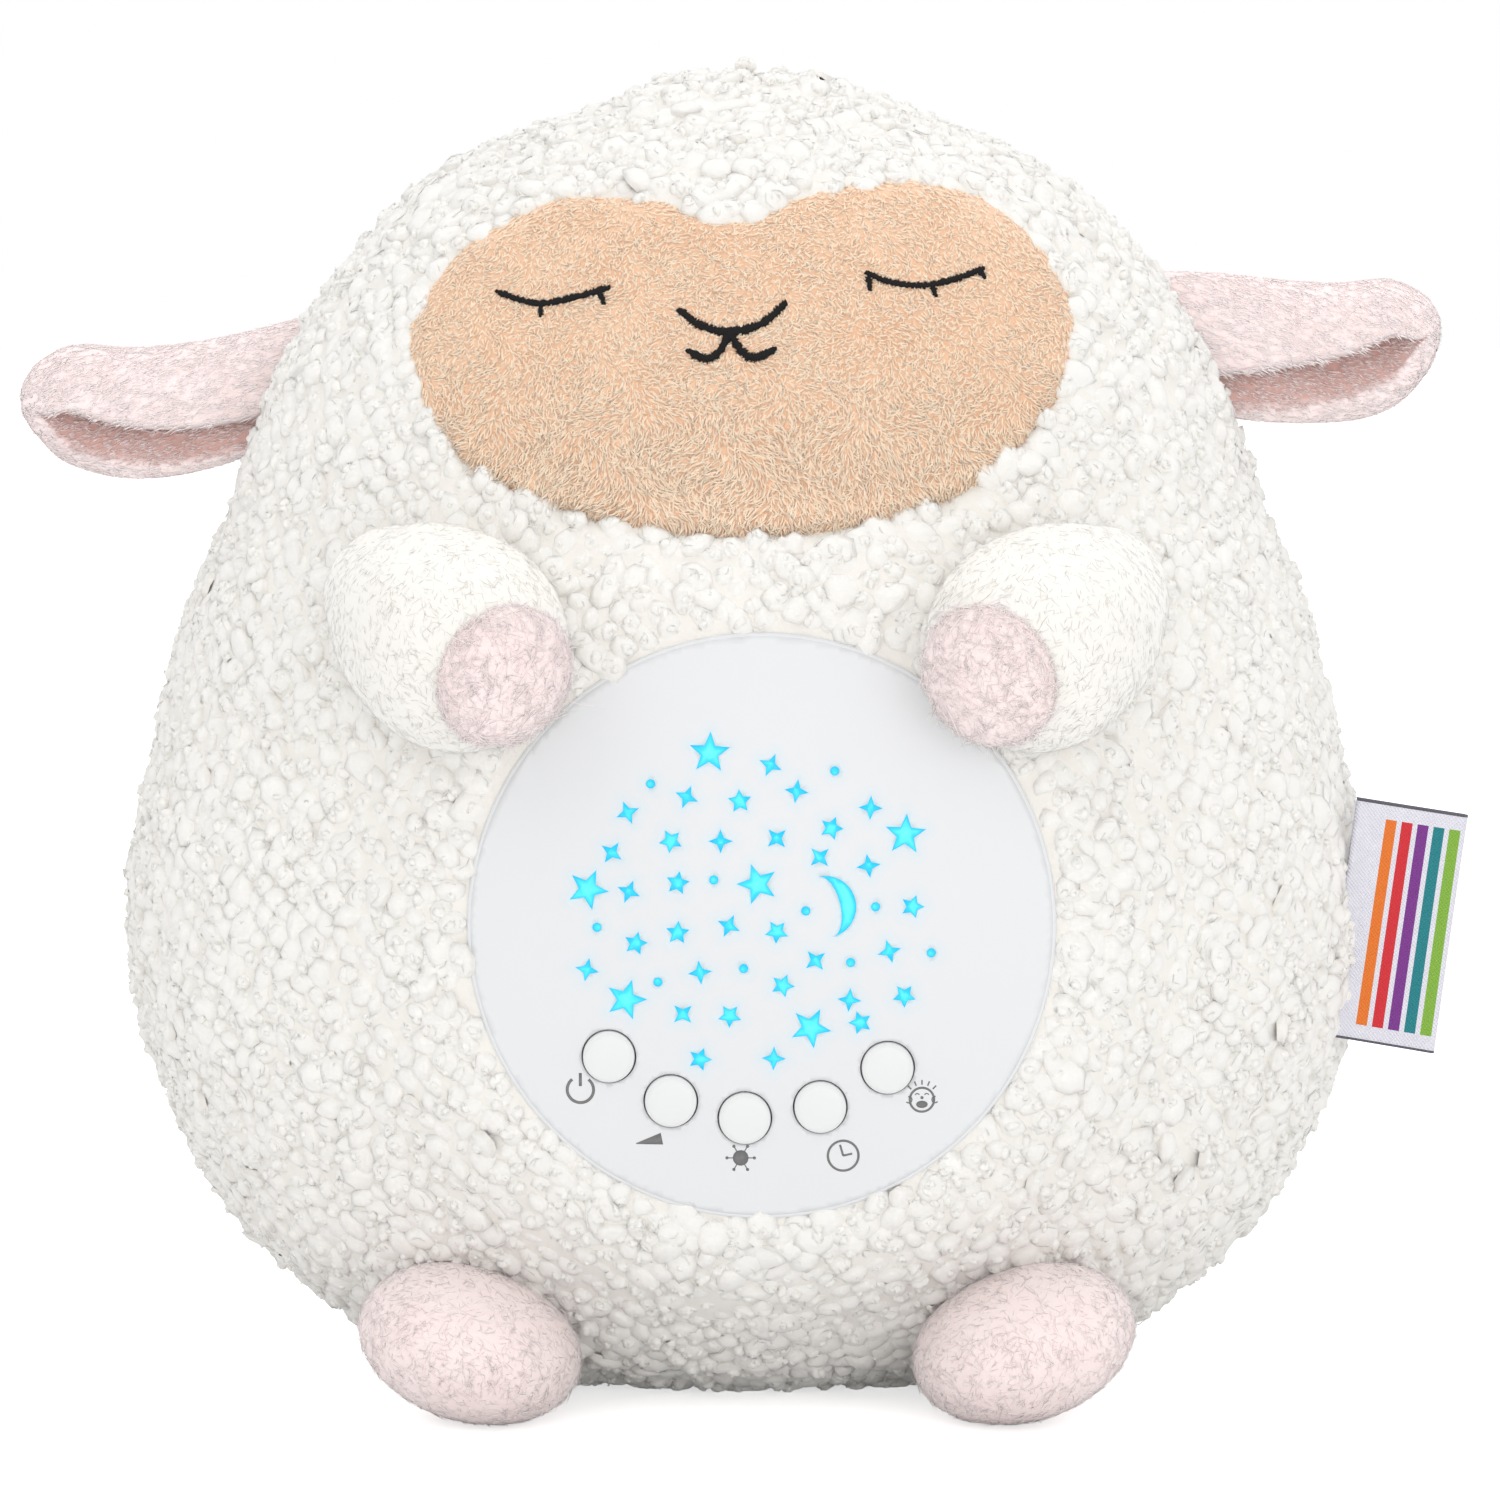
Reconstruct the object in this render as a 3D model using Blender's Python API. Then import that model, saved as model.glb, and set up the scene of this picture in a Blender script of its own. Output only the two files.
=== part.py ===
"""Plush night light: a sleeping lamb with a round star-light module in its belly.

World frame in metres: +Z up, the lamb faces -Y, and the origin is the centre of its flat base.
Left and right are the lamb's own, so its left side is +X.
"""

import math

import bmesh
import bpy
import numpy as np
from mathutils import Matrix, Vector

for leftover in list(bpy.data.objects):
    bpy.data.objects.remove(leftover)

# Clearances and the overrun of every cut
touch_gap = 0.0003
flap_gap = 0.0005
cut_overrun = 0.03
clean_distance = 0.000001

# Stuffed body
body_height = 0.260
body_half_width = 0.1238
body_half_depth = 0.089
cover_thickness = 0.005
body_segments = 36
body_rings = 20
lining_segments = 28
lining_rings = 14
front_blend_width = 0.028
# Rows from the crown down to the base, as shares of the height and of the half width
body_profile_shares = [
    (0, 0), (0.006, 0.115), (0.024, 0.225), (0.085, 0.525), (0.200, 0.735), (0.326, 0.838),
    (0.417, 0.914), (0.508, 0.960), (0.615, 1), (0.719, 0.984), (0.81, 0.908), (0.90, 0.767),
    (0.965, 0.58), (1, 0.35),
]

# Front panel of the light module: its height share is of the body's height
panel_x = 0.0028
panel_height_share = 0.377
panel_radius = 0.0558
panel_sagitta = 0.004
panel_thickness = 0.0022
panel_sink = 0.005
skirt_wall = 0.002
skirt_inset = 0.0058
panel_segments = 32
dome_ring_count = 3
boss_radius = 0.0032
boss_inset = 0.004
boss_end_depth = 0.0175
boss_turns_deg = (50, 130, 195, 345)
boss_segments = 10
hole_segments = 8
screw_shank_radius = 0.0012
screw_head_radius = 0.0026
screw_head_height = 0.0016
screw_bite = 0.010

# Light windows cut through the dome: places as shares of the panel radius
star_radius = 0.0038
star_waist_share = 0.42
star_point_count = 5
star_place_shares = [
    (-0.176, 0.595), (0.486, 0.318), (-0.588, 0.132), (-0.014, 0.152), (-0.459, -0.243),
    (0.166, -0.338),
]
moon_radius = 0.0055
moon_place_share = (0.205, 0.071)
moon_bite_share = 0.5
moon_steps = 6
window_plate_thickness = 0.0012
window_plate_margin = 0.0015

# Push buttons
button_radius = 0.0049
button_proud = 0.0016
button_crown = 0.0004
button_lip = 0.0006
button_lip_height = 0.001
button_stem_radius = 0.002
button_travel = 0.0008
button_segments = 16
stem_segments = 10
button_shares = {
    "button_power": (-0.518, -0.439),
    "button_volume": (-0.308, -0.591),
    "button_light": (-0.057, -0.649),
    "button_timer": (0.199, -0.611),
    "button_sound": (0.427, -0.477),
}

# Inside the module, as depths behind the rim plane
reflector_depth = 0.0105
reflector_thickness = 0.0012
reflector_wall = 0.0015
keypad_thickness = 0.0006
keypad_margin = 0.0035
keypad_dome_radius = 0.003
keypad_dome_height = 0.0021
board_thickness = 0.0016
housing_wall = 0.002
housing_flange = 0.003
housing_flange_thickness = 0.002
clamp_ring_width = 0.0055
clamp_ring_thickness = 0.002
led_radius = 0.0025
led_height = 0.0055
led_flange = 0.0004
led_flange_height = 0.0005
led_shares = {
    "led_1": (-0.30, 0.42),
    "led_2": (0.30, 0.42),
    "led_3": (-0.30, -0.10),
    "led_4": (0.30, -0.10),
}
microphone_radius = 0.004
microphone_height = 0.004
microphone_share = (-0.36, 0.45)
chip_size = 0.012
chip_height = 0.002
chip_share = (0.22, 0.48)
plug_width = 0.008
plug_height = 0.006
plug_length = 0.005
plug_share = (0.50, -0.11)
speaker_radius = 0.018
speaker_share = (0, 0.036)
speaker_rim_width = 0.0035
speaker_rim_height = 0.0025
speaker_height = 0.0095
speaker_wall = 0.001
speaker_back_radius = 0.009
speaker_room = 0.0036
cone_throat_radius = 0.004
cone_thickness = 0.0006
magnet_height = 0.0055
grille_hole_radius = 0.002
grille_pitch_radius = 0.0085
grille_hole_count = 5

# Battery case in the back, with three cells lying across it
cell_radius = 0.00725
cell_length = 0.0505
cell_nub_radius = 0.0027
cell_nub_length = 0.001
cell_gap = 0.0007
cell_count = 3
contact_thickness = 0.0005
contact_spring_length = 0.003
contact_spring_radius = 0.003
case_wall = 0.0018
case_height_share = 0.3654
case_depth_under_flap = 0.0009
case_screw_strip = 0.008
door_thickness = 0.002
door_boss_radius = 0.003

# Back flap over the battery case, hinged along its top seam
flap_thickness = 0.002
flap_side_margin = 0.0083
flap_top_margin = 0.0064
flap_corner_radius = 0.010
tape_thickness = 0.0006
tape_half_width = 0.024
tape_height = 0.011
tape_top_margin = 0.0029
tape_bottom_margin = 0.0035

# Leads that the object holds all the way
battery_lead_radius = 0.0016
battery_lead_sides = 8
battery_lead_case_x = 0.019
battery_lead_case_drop = 0.008
battery_lead_straight = 0.006
# The lead's bends, as shares of its way back and of its way across
battery_lead_bend_shares = [(0.3, 0.15), (0.5, 0.5), (0.7, 0.85)]
speaker_lead_radius = 0.0008
speaker_lead_slack = 0.002

# Face patch and its embroidery: its height shares are of the body's height
face_x = -0.001
face_height_share = 0.7808
face_half_width = 0.064
face_half_height_share = 0.1308
face_recess = 0.001
thread_width = 0.0011
thread_height = 0.00055
face_outline_shares = [
    (-0.02, 0.83), (-0.28, 0.93), (-0.52, 0.94), (-0.79, 0.73), (-0.96, 0.36), (-1, 0.08),
    (-0.96, -0.25), (-0.86, -0.50), (-0.69, -0.69), (-0.45, -0.84), (-0.18, -0.92), (0.05, -0.93),
    (0.32, -0.89), (0.62, -0.74), (0.80, -0.52), (0.95, -0.19), (1, 0.19), (0.96, 0.50),
    (0.84, 0.78), (0.66, 0.98), (0.42, 1.04), (0.17, 0.94),
]
# Embroidered strokes: a place as shares of the face, a real half width, and shares of that
eye_half_width = 0.0112
mouth_half_width = 0.0103
eye_right_place_share = (-0.566, 0.418)
eye_left_place_share = (0.550, 0.535)
mouth_place_share = (-0.031, 0.206)
eye_right_stroke_shares = [
    [(-0.98, 0), (-0.62, -0.13), (-0.20, -0.20), (0.40, -0.09), (0.98, 0.08)],
    [(-0.20, -0.17), (-0.20, -0.30), (-0.21, -0.42)],
    [(0.78, 0.03), (0.84, -0.08), (0.88, -0.20)],
]
eye_left_stroke_shares = [
    [(-1.02, -0.02), (-0.60, -0.19), (-0.05, -0.25), (0.50, -0.15), (1.02, 0.03)],
    [(-0.96, -0.02), (-0.97, -0.17), (-0.95, -0.32)],
    [(0.11, -0.20), (0.14, -0.33), (0.18, -0.43)],
    [(0.90, 0), (0.98, -0.06), (1.03, -0.14)],
]
mouth_stroke_shares = [
    [(-0.98, 0.39), (-0.56, 0.10), (-0.04, -0.02), (0.54, 0.12), (1.02, 0.51)],
    [(0, 0.02), (-0.22, -0.38), (-0.47, -0.51), (-0.82, -0.35)],
    [(-0.06, 0.02), (0.20, -0.38), (0.46, -0.49), (0.83, -0.33)],
]

# Ears: their roots' height shares are of the body's height, and their upper and lower edge points,
# from the root outwards, are shares of the ear length
ear_y = 0.003
ear_bead_radius = 0.0032
ear_bead_inset = 0.0008
ear_half_thickness = 0.0068
ear_segments = 16
ear_slit_half_angle_deg = 13
ear_pocket_depth = 0.0075
ear_pocket_turns_deg = (-60, -20, 20, 60)
ear_pocket_swell_share = 1.7
ear_thickness_shares = (0.35, 0.66, 0.92, 1, 0.90, 0.55)
ear_pocket_shares = (0.40, 0.80, 1, 1, 0.90, 0.60)
ear_right_length = 0.0548
ear_right_root_share = 0.7681
ear_right_edge_shares = [
    ((-0.100, 0.215), (0.100, -0.214)), ((0.137, 0.151), (0.246, -0.305)),
    ((0.356, 0.108), (0.447, -0.378)), ((0.575, 0.088), (0.648, -0.387)),
    ((0.794, 0.097), (0.830, -0.332)), ((0.931, 0.033), (0.940, -0.223)),
]
ear_right_tip_share = (1, -0.086)
ear_left_length = 0.0505
ear_left_root_share = 0.7969
ear_left_edge_shares = [
    ((-0.118, 0.243), (0.118, -0.270)), ((0.110, 0.238), (0.275, -0.327)),
    ((0.347, 0.213), (0.475, -0.345)), ((0.584, 0.198), (0.683, -0.330)),
    ((0.792, 0.213), (0.812, -0.248)), ((0.931, 0.150), (0.931, -0.090)),
]
ear_left_tip_share = (1, 0.060)

# Arms: a ball end on a tapered stub, cut to the body and sewn along its outer side
arm_ball_x = 0.0535
arm_ball_standoff = 0.01485
arm_ball_height_share = 0.5838
arm_radius = 0.0205
arm_segments = 20
arm_heading = (-0.50, -0.82, -0.28)
arm_seam_x = 0.0805
arm_seam_height_share = 0.6077
# Along the arm from its root to the seam of the paw, as shares of its radius
arm_profile_shares = [
    (-1.60, 0), (-1.60, 0.62), (-1.20, 0.70), (-0.65, 0.88), (-0.20, 0.985), (0.15, 0.99), (0.45, 0.89),
    (0.76, 0.65), (0.76, 0),
]
paw_profile_shares = [(0.76, 0), (0.76, 0.65), (0.91, 0.53), (1.02, 0.30), (1.06, 0)]

# Feet: tilted egg shapes with flat soles, their places as shares of the body's half width and half depth
foot_across_share = 0.432
foot_forward_share = 0.697
foot_half_width = 0.0218
foot_half_depth = 0.027
foot_half_height = 0.0145
foot_tilt_deg = 17
foot_sole_cut = 0.0005
foot_rings = 10
foot_segments = 20

# Folded tag in the side seam: its shares are of the body's half depth and height
tag_forward_share = 0.247
tag_height_share = 0.3542
tag_sewn_depth = 0.0072
tag_width = 0.0265
tag_height = 0.0475
tag_tilt_deg = 8
tag_ply = 0.0006
tag_opening = 0.0015
tag_hidden_length = 0.008
tag_seam_depth = 0.0025
tag_fold_steps = 6

# Colours and finishes: colour, roughness, metallic
finishes = {
    "fleece": ((0.86, 0.84, 0.79), 0.95, 0),
    "stuffing": ((0.90, 0.90, 0.88), 1, 0),
    "tan_plush": ((0.85, 0.62, 0.42), 0.95, 0),
    "pink_plush": ((0.92, 0.74, 0.74), 0.95, 0),
    "cream_plush": ((0.90, 0.87, 0.82), 0.95, 0),
    "black_thread": ((0.02, 0.02, 0.02), 0.6, 0),
    "woven_label": ((0.80, 0.79, 0.86), 0.7, 0),
    "tape": ((0.85, 0.85, 0.83), 0.9, 0),
    "white_plastic": ((0.88, 0.88, 0.88), 0.3, 0),
    "cyan_window": ((0.02, 0.55, 0.88), 0.25, 0),
    "silicone": ((0.75, 0.75, 0.73), 0.6, 0),
    "circuit_board": ((0.03, 0.25, 0.10), 0.5, 0),
    "black_plastic": ((0.03, 0.03, 0.03), 0.5, 0),
    "led_lens": ((0.80, 0.90, 0.95), 0.1, 0),
    "steel": ((0.60, 0.60, 0.62), 0.3, 1),
    "paper": ((0.10, 0.10, 0.11), 0.8, 0),
    "cell_wrap": ((0.12, 0.30, 0.16), 0.4, 0),
    "red_cable": ((0.55, 0.03, 0.03), 0.5, 0),
}


# Mesh helpers


def material(finish):
    """One Principled material for each named finish."""
    found = bpy.data.materials.get(finish)
    if found:
        return found
    colour, roughness, metallic = finishes[finish]
    made = bpy.data.materials.new(finish)
    made.use_nodes = True
    shader = made.node_tree.nodes["Principled BSDF"]
    shader.inputs["Base Color"].default_value = (*colour, 1)
    shader.inputs["Roughness"].default_value = roughness
    shader.inputs["Metallic"].default_value = metallic
    return made


def place(name, mesh, finish, matrix=Matrix()):
    """Links the mesh as a named object at the matrix and gives it its material."""
    mesh.name = name
    mesh.materials.clear()
    mesh.materials.append(material(finish))
    mesh.shade_smooth()
    mesh.set_sharp_from_angle(angle=math.radians(35))
    item = bpy.data.objects.new(name, mesh)
    item.matrix_world = matrix
    bpy.context.scene.collection.objects.link(item)
    return item


def closed_mesh(points, faces):
    """A mesh from points and faces, with its normals turned outwards."""
    mesh = bpy.data.meshes.new("shape")
    mesh.from_pydata([tuple(map(float, point)) for point in points], [], faces)
    work = bmesh.new()
    work.from_mesh(mesh)
    bmesh.ops.recalc_face_normals(work, faces=work.faces)
    work.to_mesh(mesh)
    work.free()
    return mesh


def moved(mesh, matrix):
    """A copy of the mesh with the matrix applied, kept right side out where that mirrors it."""
    copy = mesh.copy()
    copy.transform(matrix)
    if matrix.determinant() < 0:
        copy.flip_normals()
    return copy


def joined(meshes):
    """Several meshes as one, each still a body of its own, for use as one cutter."""
    work = bmesh.new()
    for mesh in meshes:
        work.from_mesh(mesh)
    result = bpy.data.meshes.new("shape")
    work.to_mesh(result)
    work.free()
    return result


def combined(mesh, other, operation):
    """The exact Boolean of two closed meshes, with its slivers dissolved."""
    base = bpy.data.objects.new("base", mesh)
    tool = bpy.data.objects.new("cutter", other)
    for item in (base, tool):
        bpy.context.scene.collection.objects.link(item)
    tool.hide_render = True
    tool.display_type = "WIRE"
    modifier = base.modifiers.new("combined", "BOOLEAN")
    modifier.object = tool
    modifier.operation = operation
    modifier.solver = "EXACT"
    graph = bpy.context.evaluated_depsgraph_get()
    result = bpy.data.meshes.new_from_object(base.evaluated_get(graph))
    for item in (base, tool):
        bpy.data.objects.remove(item)
    work = bmesh.new()
    work.from_mesh(result)
    bmesh.ops.remove_doubles(work, verts=work.verts, dist=clean_distance)
    bmesh.ops.dissolve_degenerate(work, edges=work.edges, dist=clean_distance)
    work.to_mesh(result)
    work.free()
    return result


def cut(mesh, *cutters):
    """The mesh with each cutter taken away in turn."""
    for cutter in cutters:
        mesh = combined(mesh, cutter, "DIFFERENCE")
    return mesh


def shared(mesh, other):
    """What the two meshes have in common."""
    return combined(mesh, other, "INTERSECT")


def fused(mesh, *others):
    """One body from overlapping meshes."""
    for other in others:
        mesh = combined(mesh, other, "UNION")
    return mesh


def turned(profile, segments):
    """A profile of (radius, height) rows turned about local Z; a radius of zero is a pole."""
    points = []
    rows = []
    for radius, height in profile:
        if radius == 0:
            rows.append([len(points)] * segments)
            points.append((0, 0, height))
            continue
        rows.append(list(range(len(points), len(points) + segments)))
        for step in range(segments):
            turn = math.tau * step / segments
            points.append((radius * math.cos(turn), radius * math.sin(turn), height))
    closed_loop = profile[0][0] != 0
    pairs = list(zip(rows, rows[1:] + rows[:1] if closed_loop else rows[1:]))
    faces = []
    for lower, upper in pairs:
        for step in range(segments):
            after = (step + 1) % segments
            corners = [lower[step], lower[after], upper[after], upper[step]]
            face = tuple(dict.fromkeys(corners))
            if len(face) > 2:
                faces.append(face)
    return closed_mesh(points, faces)


def prism(outline, low, high):
    """A closed outline of (x, y) points carried along local Z from low to high."""
    count = len(outline)
    points = [(x, y, low) for x, y in outline] + [(x, y, high) for x, y in outline]
    faces = [tuple(range(count)), tuple(range(count, 2 * count))]
    for step in range(count):
        after = (step + 1) % count
        faces.append((step, after, count + after, count + step))
    return closed_mesh(points, faces)


def disc(x, y, radius, low, high, segments=16):
    """A round prism about the point (x, y)."""
    turns = [math.tau * step / segments for step in range(segments)]
    return prism([(x + radius * math.cos(t), y + radius * math.sin(t)) for t in turns], low, high)


def box(low, high):
    """An upright box between two corners."""
    outline = [(low[0], low[1]), (high[0], low[1]), (high[0], high[1]), (low[0], high[1])]
    return prism(outline, low[2], high[2])


def smooth_path(points, steps, closed=False):
    """A Catmull-Rom curve through the points, with the given steps in each span."""
    known = np.array(points, dtype=float)
    if closed:
        known = np.vstack([known[-1:], known, known[:2]])
    else:
        known = np.vstack([2 * known[:1] - known[1:2], known, 2 * known[-1:] - known[-2:-1]])
    rows = []
    for before, start, end, after in zip(known, known[1:], known[2:], known[3:]):
        for step in range(steps):
            t = step / steps
            linear = (end - before) * t
            square = (2 * before - 5 * start + 4 * end - after) * t**2
            cubic = (3 * start - before - 3 * end + after) * t**3
            rows.append((2 * start + linear + square + cubic) / 2)
    if not closed:
        rows.append(known[-2])
    return np.array(rows)


def tube(path, radius, sides):
    """A round tube along a path whose sections never turn past straight up."""
    path = np.array(path)
    along = np.gradient(path, axis=0)
    along /= np.linalg.norm(along, axis=1)[:, None]
    across = np.cross(along, (0, 0, 1))
    across /= np.linalg.norm(across, axis=1)[:, None]
    over = np.cross(across, along)
    turns = np.arange(sides) * math.tau / sides
    ring = np.cos(turns)[None, :, None] * across[:, None] + np.sin(turns)[None, :, None] * over[:, None]
    points = (path[:, None] + radius * ring).reshape(-1, 3)
    last = (len(path) - 1) * sides
    faces = [tuple(range(sides)), tuple(range(last, last + sides))]
    for row in range(len(path) - 1):
        for step in range(sides):
            after = (step + 1) % sides
            low, high = row * sides, (row + 1) * sides
            faces.append((low + step, low + after, high + after, high + step))
    return closed_mesh(points, faces)


# The stuffed body, and every shell that follows its surface


body_curve = smooth_path(body_profile_shares, 12)
panel_z = body_height * panel_height_share
rim_plane_y = panel_sink - body_half_depth


def width_share(z):
    """The body's half width at a height, as a share of its greatest half width."""
    return float(np.interp(1 - z / body_height, body_curve[:, 0], body_curve[:, 1]))


def blend_to_rim(x, y, z, inset):
    """Draws the front of the body forward, so that the cover meets the panel's rim plane."""
    away = math.hypot(x - panel_x, z - panel_z)
    rise = min(max((panel_radius + front_blend_width - away) / front_blend_width, 0), 1)
    weight = rise * rise * (3 - 2 * rise)
    return y + weight * (rim_plane_y + inset - y)


def front_y(x, z, inset=0):
    """The body's front surface at a place seen from the front."""
    half_width = (body_half_width - inset) * width_share(z)
    half_depth = (body_half_depth - inset) * width_share(z)
    y = -half_depth * math.sqrt(max(1 - (x / half_width) ** 2, 0))
    return blend_to_rim(x, y, z, inset)


def back_y(x, z):
    """The body's back surface at a place seen from behind."""
    half_width = body_half_width * width_share(z)
    return body_half_depth * width_share(z) * math.sqrt(1 - (x / half_width) ** 2)


def side_x(y, z, inset=0):
    """The body's side surface at a depth and a height, as a distance from its middle."""
    half_width = (body_half_width - inset) * width_share(z)
    half_depth = (body_half_depth - inset) * width_share(z)
    return half_width * math.sqrt(1 - (y / half_depth) ** 2)


def body_solid(inset, segments=body_segments, rings=body_rings):
    """The body's surface moved in by the inset: ellipses of falling height, and a flat base.

    Its sides are triangles whose diagonals all run one way, so that two insets never cross.
    """
    spots = np.linspace(0, len(body_curve) - 1, rings + 1)
    down = np.interp(spots, np.arange(len(body_curve)), body_curve[:, 0])
    wide = np.interp(spots, np.arange(len(body_curve)), body_curve[:, 1])
    points = [(0, 0, body_height - inset)]
    for row in range(1, rings + 1):
        z = inset + (body_height - 2 * inset) * (1 - down[row])
        for step in range(segments):
            turn = math.tau * step / segments
            x = (body_half_width - inset) * wide[row] * math.sin(turn)
            y = -(body_half_depth - inset) * wide[row] * math.cos(turn)
            points.append((x, blend_to_rim(x, y, z, inset) if y < 0 else y, z))
    faces = [(0, 1 + step, 1 + (step + 1) % segments) for step in range(segments)]
    for row in range(rings - 1):
        low, high = 1 + row * segments, 1 + (row + 1) * segments
        for step in range(segments):
            after = (step + 1) % segments
            faces.append((low + step, low + after, high + after))
            faces.append((low + step, high + after, high + step))
    last = 1 + (rings - 1) * segments
    faces.append(tuple(range(last, last + segments)))
    return closed_mesh(points, faces)


def lining_solid(inset):
    """The same body with fewer facets, for the cover's inner side and what lies against it."""
    return body_solid(inset, lining_segments, lining_rings)


def front_prism(outline):
    """An outline of (x, z) points carried through the front half of the body."""
    mesh = prism(outline, 0, body_half_depth + cut_overrun)
    return moved(mesh, Matrix(((1, 0, 0, 0), (0, 0, -1, 0), (0, 1, 0, 0), (0, 0, 0, 1))))


def back_prism(outline):
    """An outline of (x, z) points carried through the back half of the body."""
    mesh = prism(outline, 0, body_half_depth + cut_overrun)
    return moved(mesh, Matrix(((1, 0, 0, 0), (0, 0, 1, 0), (0, 1, 0, 0), (0, 0, 0, 1))))


def shell_piece(prism_mesh, outer_inset, inner_inset):
    """What the prism holds of the body between two insets."""
    return cut(shared(prism_mesh, body_solid(outer_inset)), body_solid(inner_inset))


def recess(prism_mesh, inset):
    """A cutter that lowers the body's surface to the inset inside the prism."""
    return cut(prism_mesh, body_solid(inset))


def grown(outline, distance):
    """A closed outline with each edge moved outwards by a distance, its corners mitred."""
    points = np.array(outline)
    edge = np.roll(points, -1, axis=0) - points
    edge /= np.linalg.norm(edge, axis=1)[:, None]
    following = np.roll(points, -1, axis=0)
    area = np.sum(points[:, 0] * following[:, 1] - following[:, 0] * points[:, 1])
    after = np.stack([edge[:, 1], -edge[:, 0]], axis=1) * np.sign(area)
    before = np.roll(after, 1, axis=0)
    mitre = (before + after) / (1 + np.sum(before * after, axis=1))[:, None]
    return (points + distance * mitre).tolist()


def rounded_rectangle(half_width, low, high, radius, steps=4):
    """An outline about x = 0 with round corners."""
    corners = [
        (half_width, low, -90), (half_width, high, 0),
        (-half_width, high, 90), (-half_width, low, 180),
    ]
    outline = []
    for x, z, start in corners:
        middle_x = x - math.copysign(radius, x)
        middle_z = z + radius if z == low else z - radius
        for step in range(steps + 1):
            turn = math.radians(start + 90 * step / steps)
            outline.append((middle_x + radius * math.cos(turn), middle_z + radius * math.sin(turn)))
    return outline


# The light module, in a frame whose Z points out of the panel and whose origin is its rim plane


panel_matrix = Matrix(((1, 0, 0, panel_x), (0, 0, -1, rim_plane_y), (0, 1, 0, panel_z), (0, 0, 0, 1)))
skirt_radius = panel_radius - skirt_inset
inside_radius = skirt_radius - skirt_wall
boss_circle_radius = inside_radius - boss_inset
boss_places = [
    (boss_circle_radius * math.cos(math.radians(turn)), boss_circle_radius * math.sin(math.radians(turn)))
    for turn in boss_turns_deg
]
button_places = {
    name: (across * panel_radius, up * panel_radius) for name, (across, up) in button_shares.items()
}
button_hole_radius = button_radius + touch_gap
button_lip_radius = button_radius + button_lip
led_places = {name: (across * panel_radius, up * panel_radius) for name, (across, up) in led_shares.items()}
clamp_front = -(cover_thickness + touch_gap)
clamp_back = clamp_front - clamp_ring_thickness
housing_front = clamp_back - touch_gap
housing_inner_radius = skirt_radius + touch_gap
housing_outer_radius = housing_inner_radius + housing_wall
tray_radius = inside_radius - window_plate_margin
flange_reach = max(housing_outer_radius + housing_flange, skirt_radius + clamp_ring_width)
flange_hollow_radius = flange_reach + touch_gap
keypad_front = -(reflector_depth + reflector_thickness + touch_gap)
board_front = keypad_front - keypad_thickness - touch_gap
board_back = board_front - board_thickness
housing_depth = speaker_room + magnet_height + speaker_height + 2 * touch_gap + housing_wall - board_back
module_hollow_radius = skirt_radius + touch_gap


def dome_height(radius):
    """The panel's front surface above the rim plane at a distance from its middle."""
    return panel_sagitta * (1 - (radius / panel_radius) ** 2)


def dome_rows(drop, radius):
    """Rows of the dome surface, lowered by the drop, from the middle out to a radius."""
    reaches = [radius * row / dome_ring_count for row in range(dome_ring_count + 1)]
    return [(reach, dome_height(reach) - drop) for reach in reaches]


def panel_clearance():
    """All that the panel's front takes up, with the gap that a piece lying on it keeps."""
    reach = panel_radius + touch_gap
    back = -panel_thickness - touch_gap
    front = dome_rows(-touch_gap, panel_radius)
    rows = [(radius * reach / panel_radius, height) for radius, height in front]
    mesh = turned(rows + [(reach, back), (0, back)], panel_segments)
    return moved(mesh, panel_matrix)


def star_outline(place_share):
    """A star about a place on the panel, one point straight up."""
    x, y = place_share[0] * panel_radius, place_share[1] * panel_radius
    outline = []
    for step in range(2 * star_point_count):
        reach = star_radius if step % 2 == 0 else star_radius * star_waist_share
        turn = math.tau * (1 / 4 + step / (2 * star_point_count))
        outline.append((x + reach * math.cos(turn), y + reach * math.sin(turn)))
    return outline


def moon_outline():
    """A crescent with its horns to the left: an outer arc and a flatter inner one."""
    x, y = moon_place_share[0] * panel_radius, moon_place_share[1] * panel_radius
    turns = np.linspace(-math.pi / 2, math.pi / 2, moon_steps + 1)
    outer = [(x + moon_radius * math.cos(t), y + moon_radius * math.sin(t)) for t in turns]
    bite = moon_radius * moon_bite_share
    inner = [(x + bite * math.cos(t), y + moon_radius * math.sin(t)) for t in turns]
    return outer + inner[-2:0:-1]


def window_prisms(grow, low, high):
    """Every star and the moon as prisms through the dome."""
    outlines = [star_outline(place_share) for place_share in star_place_shares] + [moon_outline()]
    return [prism(grown(outline, grow), low, high) for outline in outlines]


def boss_cutters(radius, low, high):
    """A round prism at each screw boss."""
    return joined([disc(x, y, radius, low, high, boss_segments) for x, y in boss_places])


def button_prisms(radius, low, high, segments=button_segments):
    """A round prism at each button."""
    return [disc(x, y, radius, low, high, segments) for x, y in button_places.values()]


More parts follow.
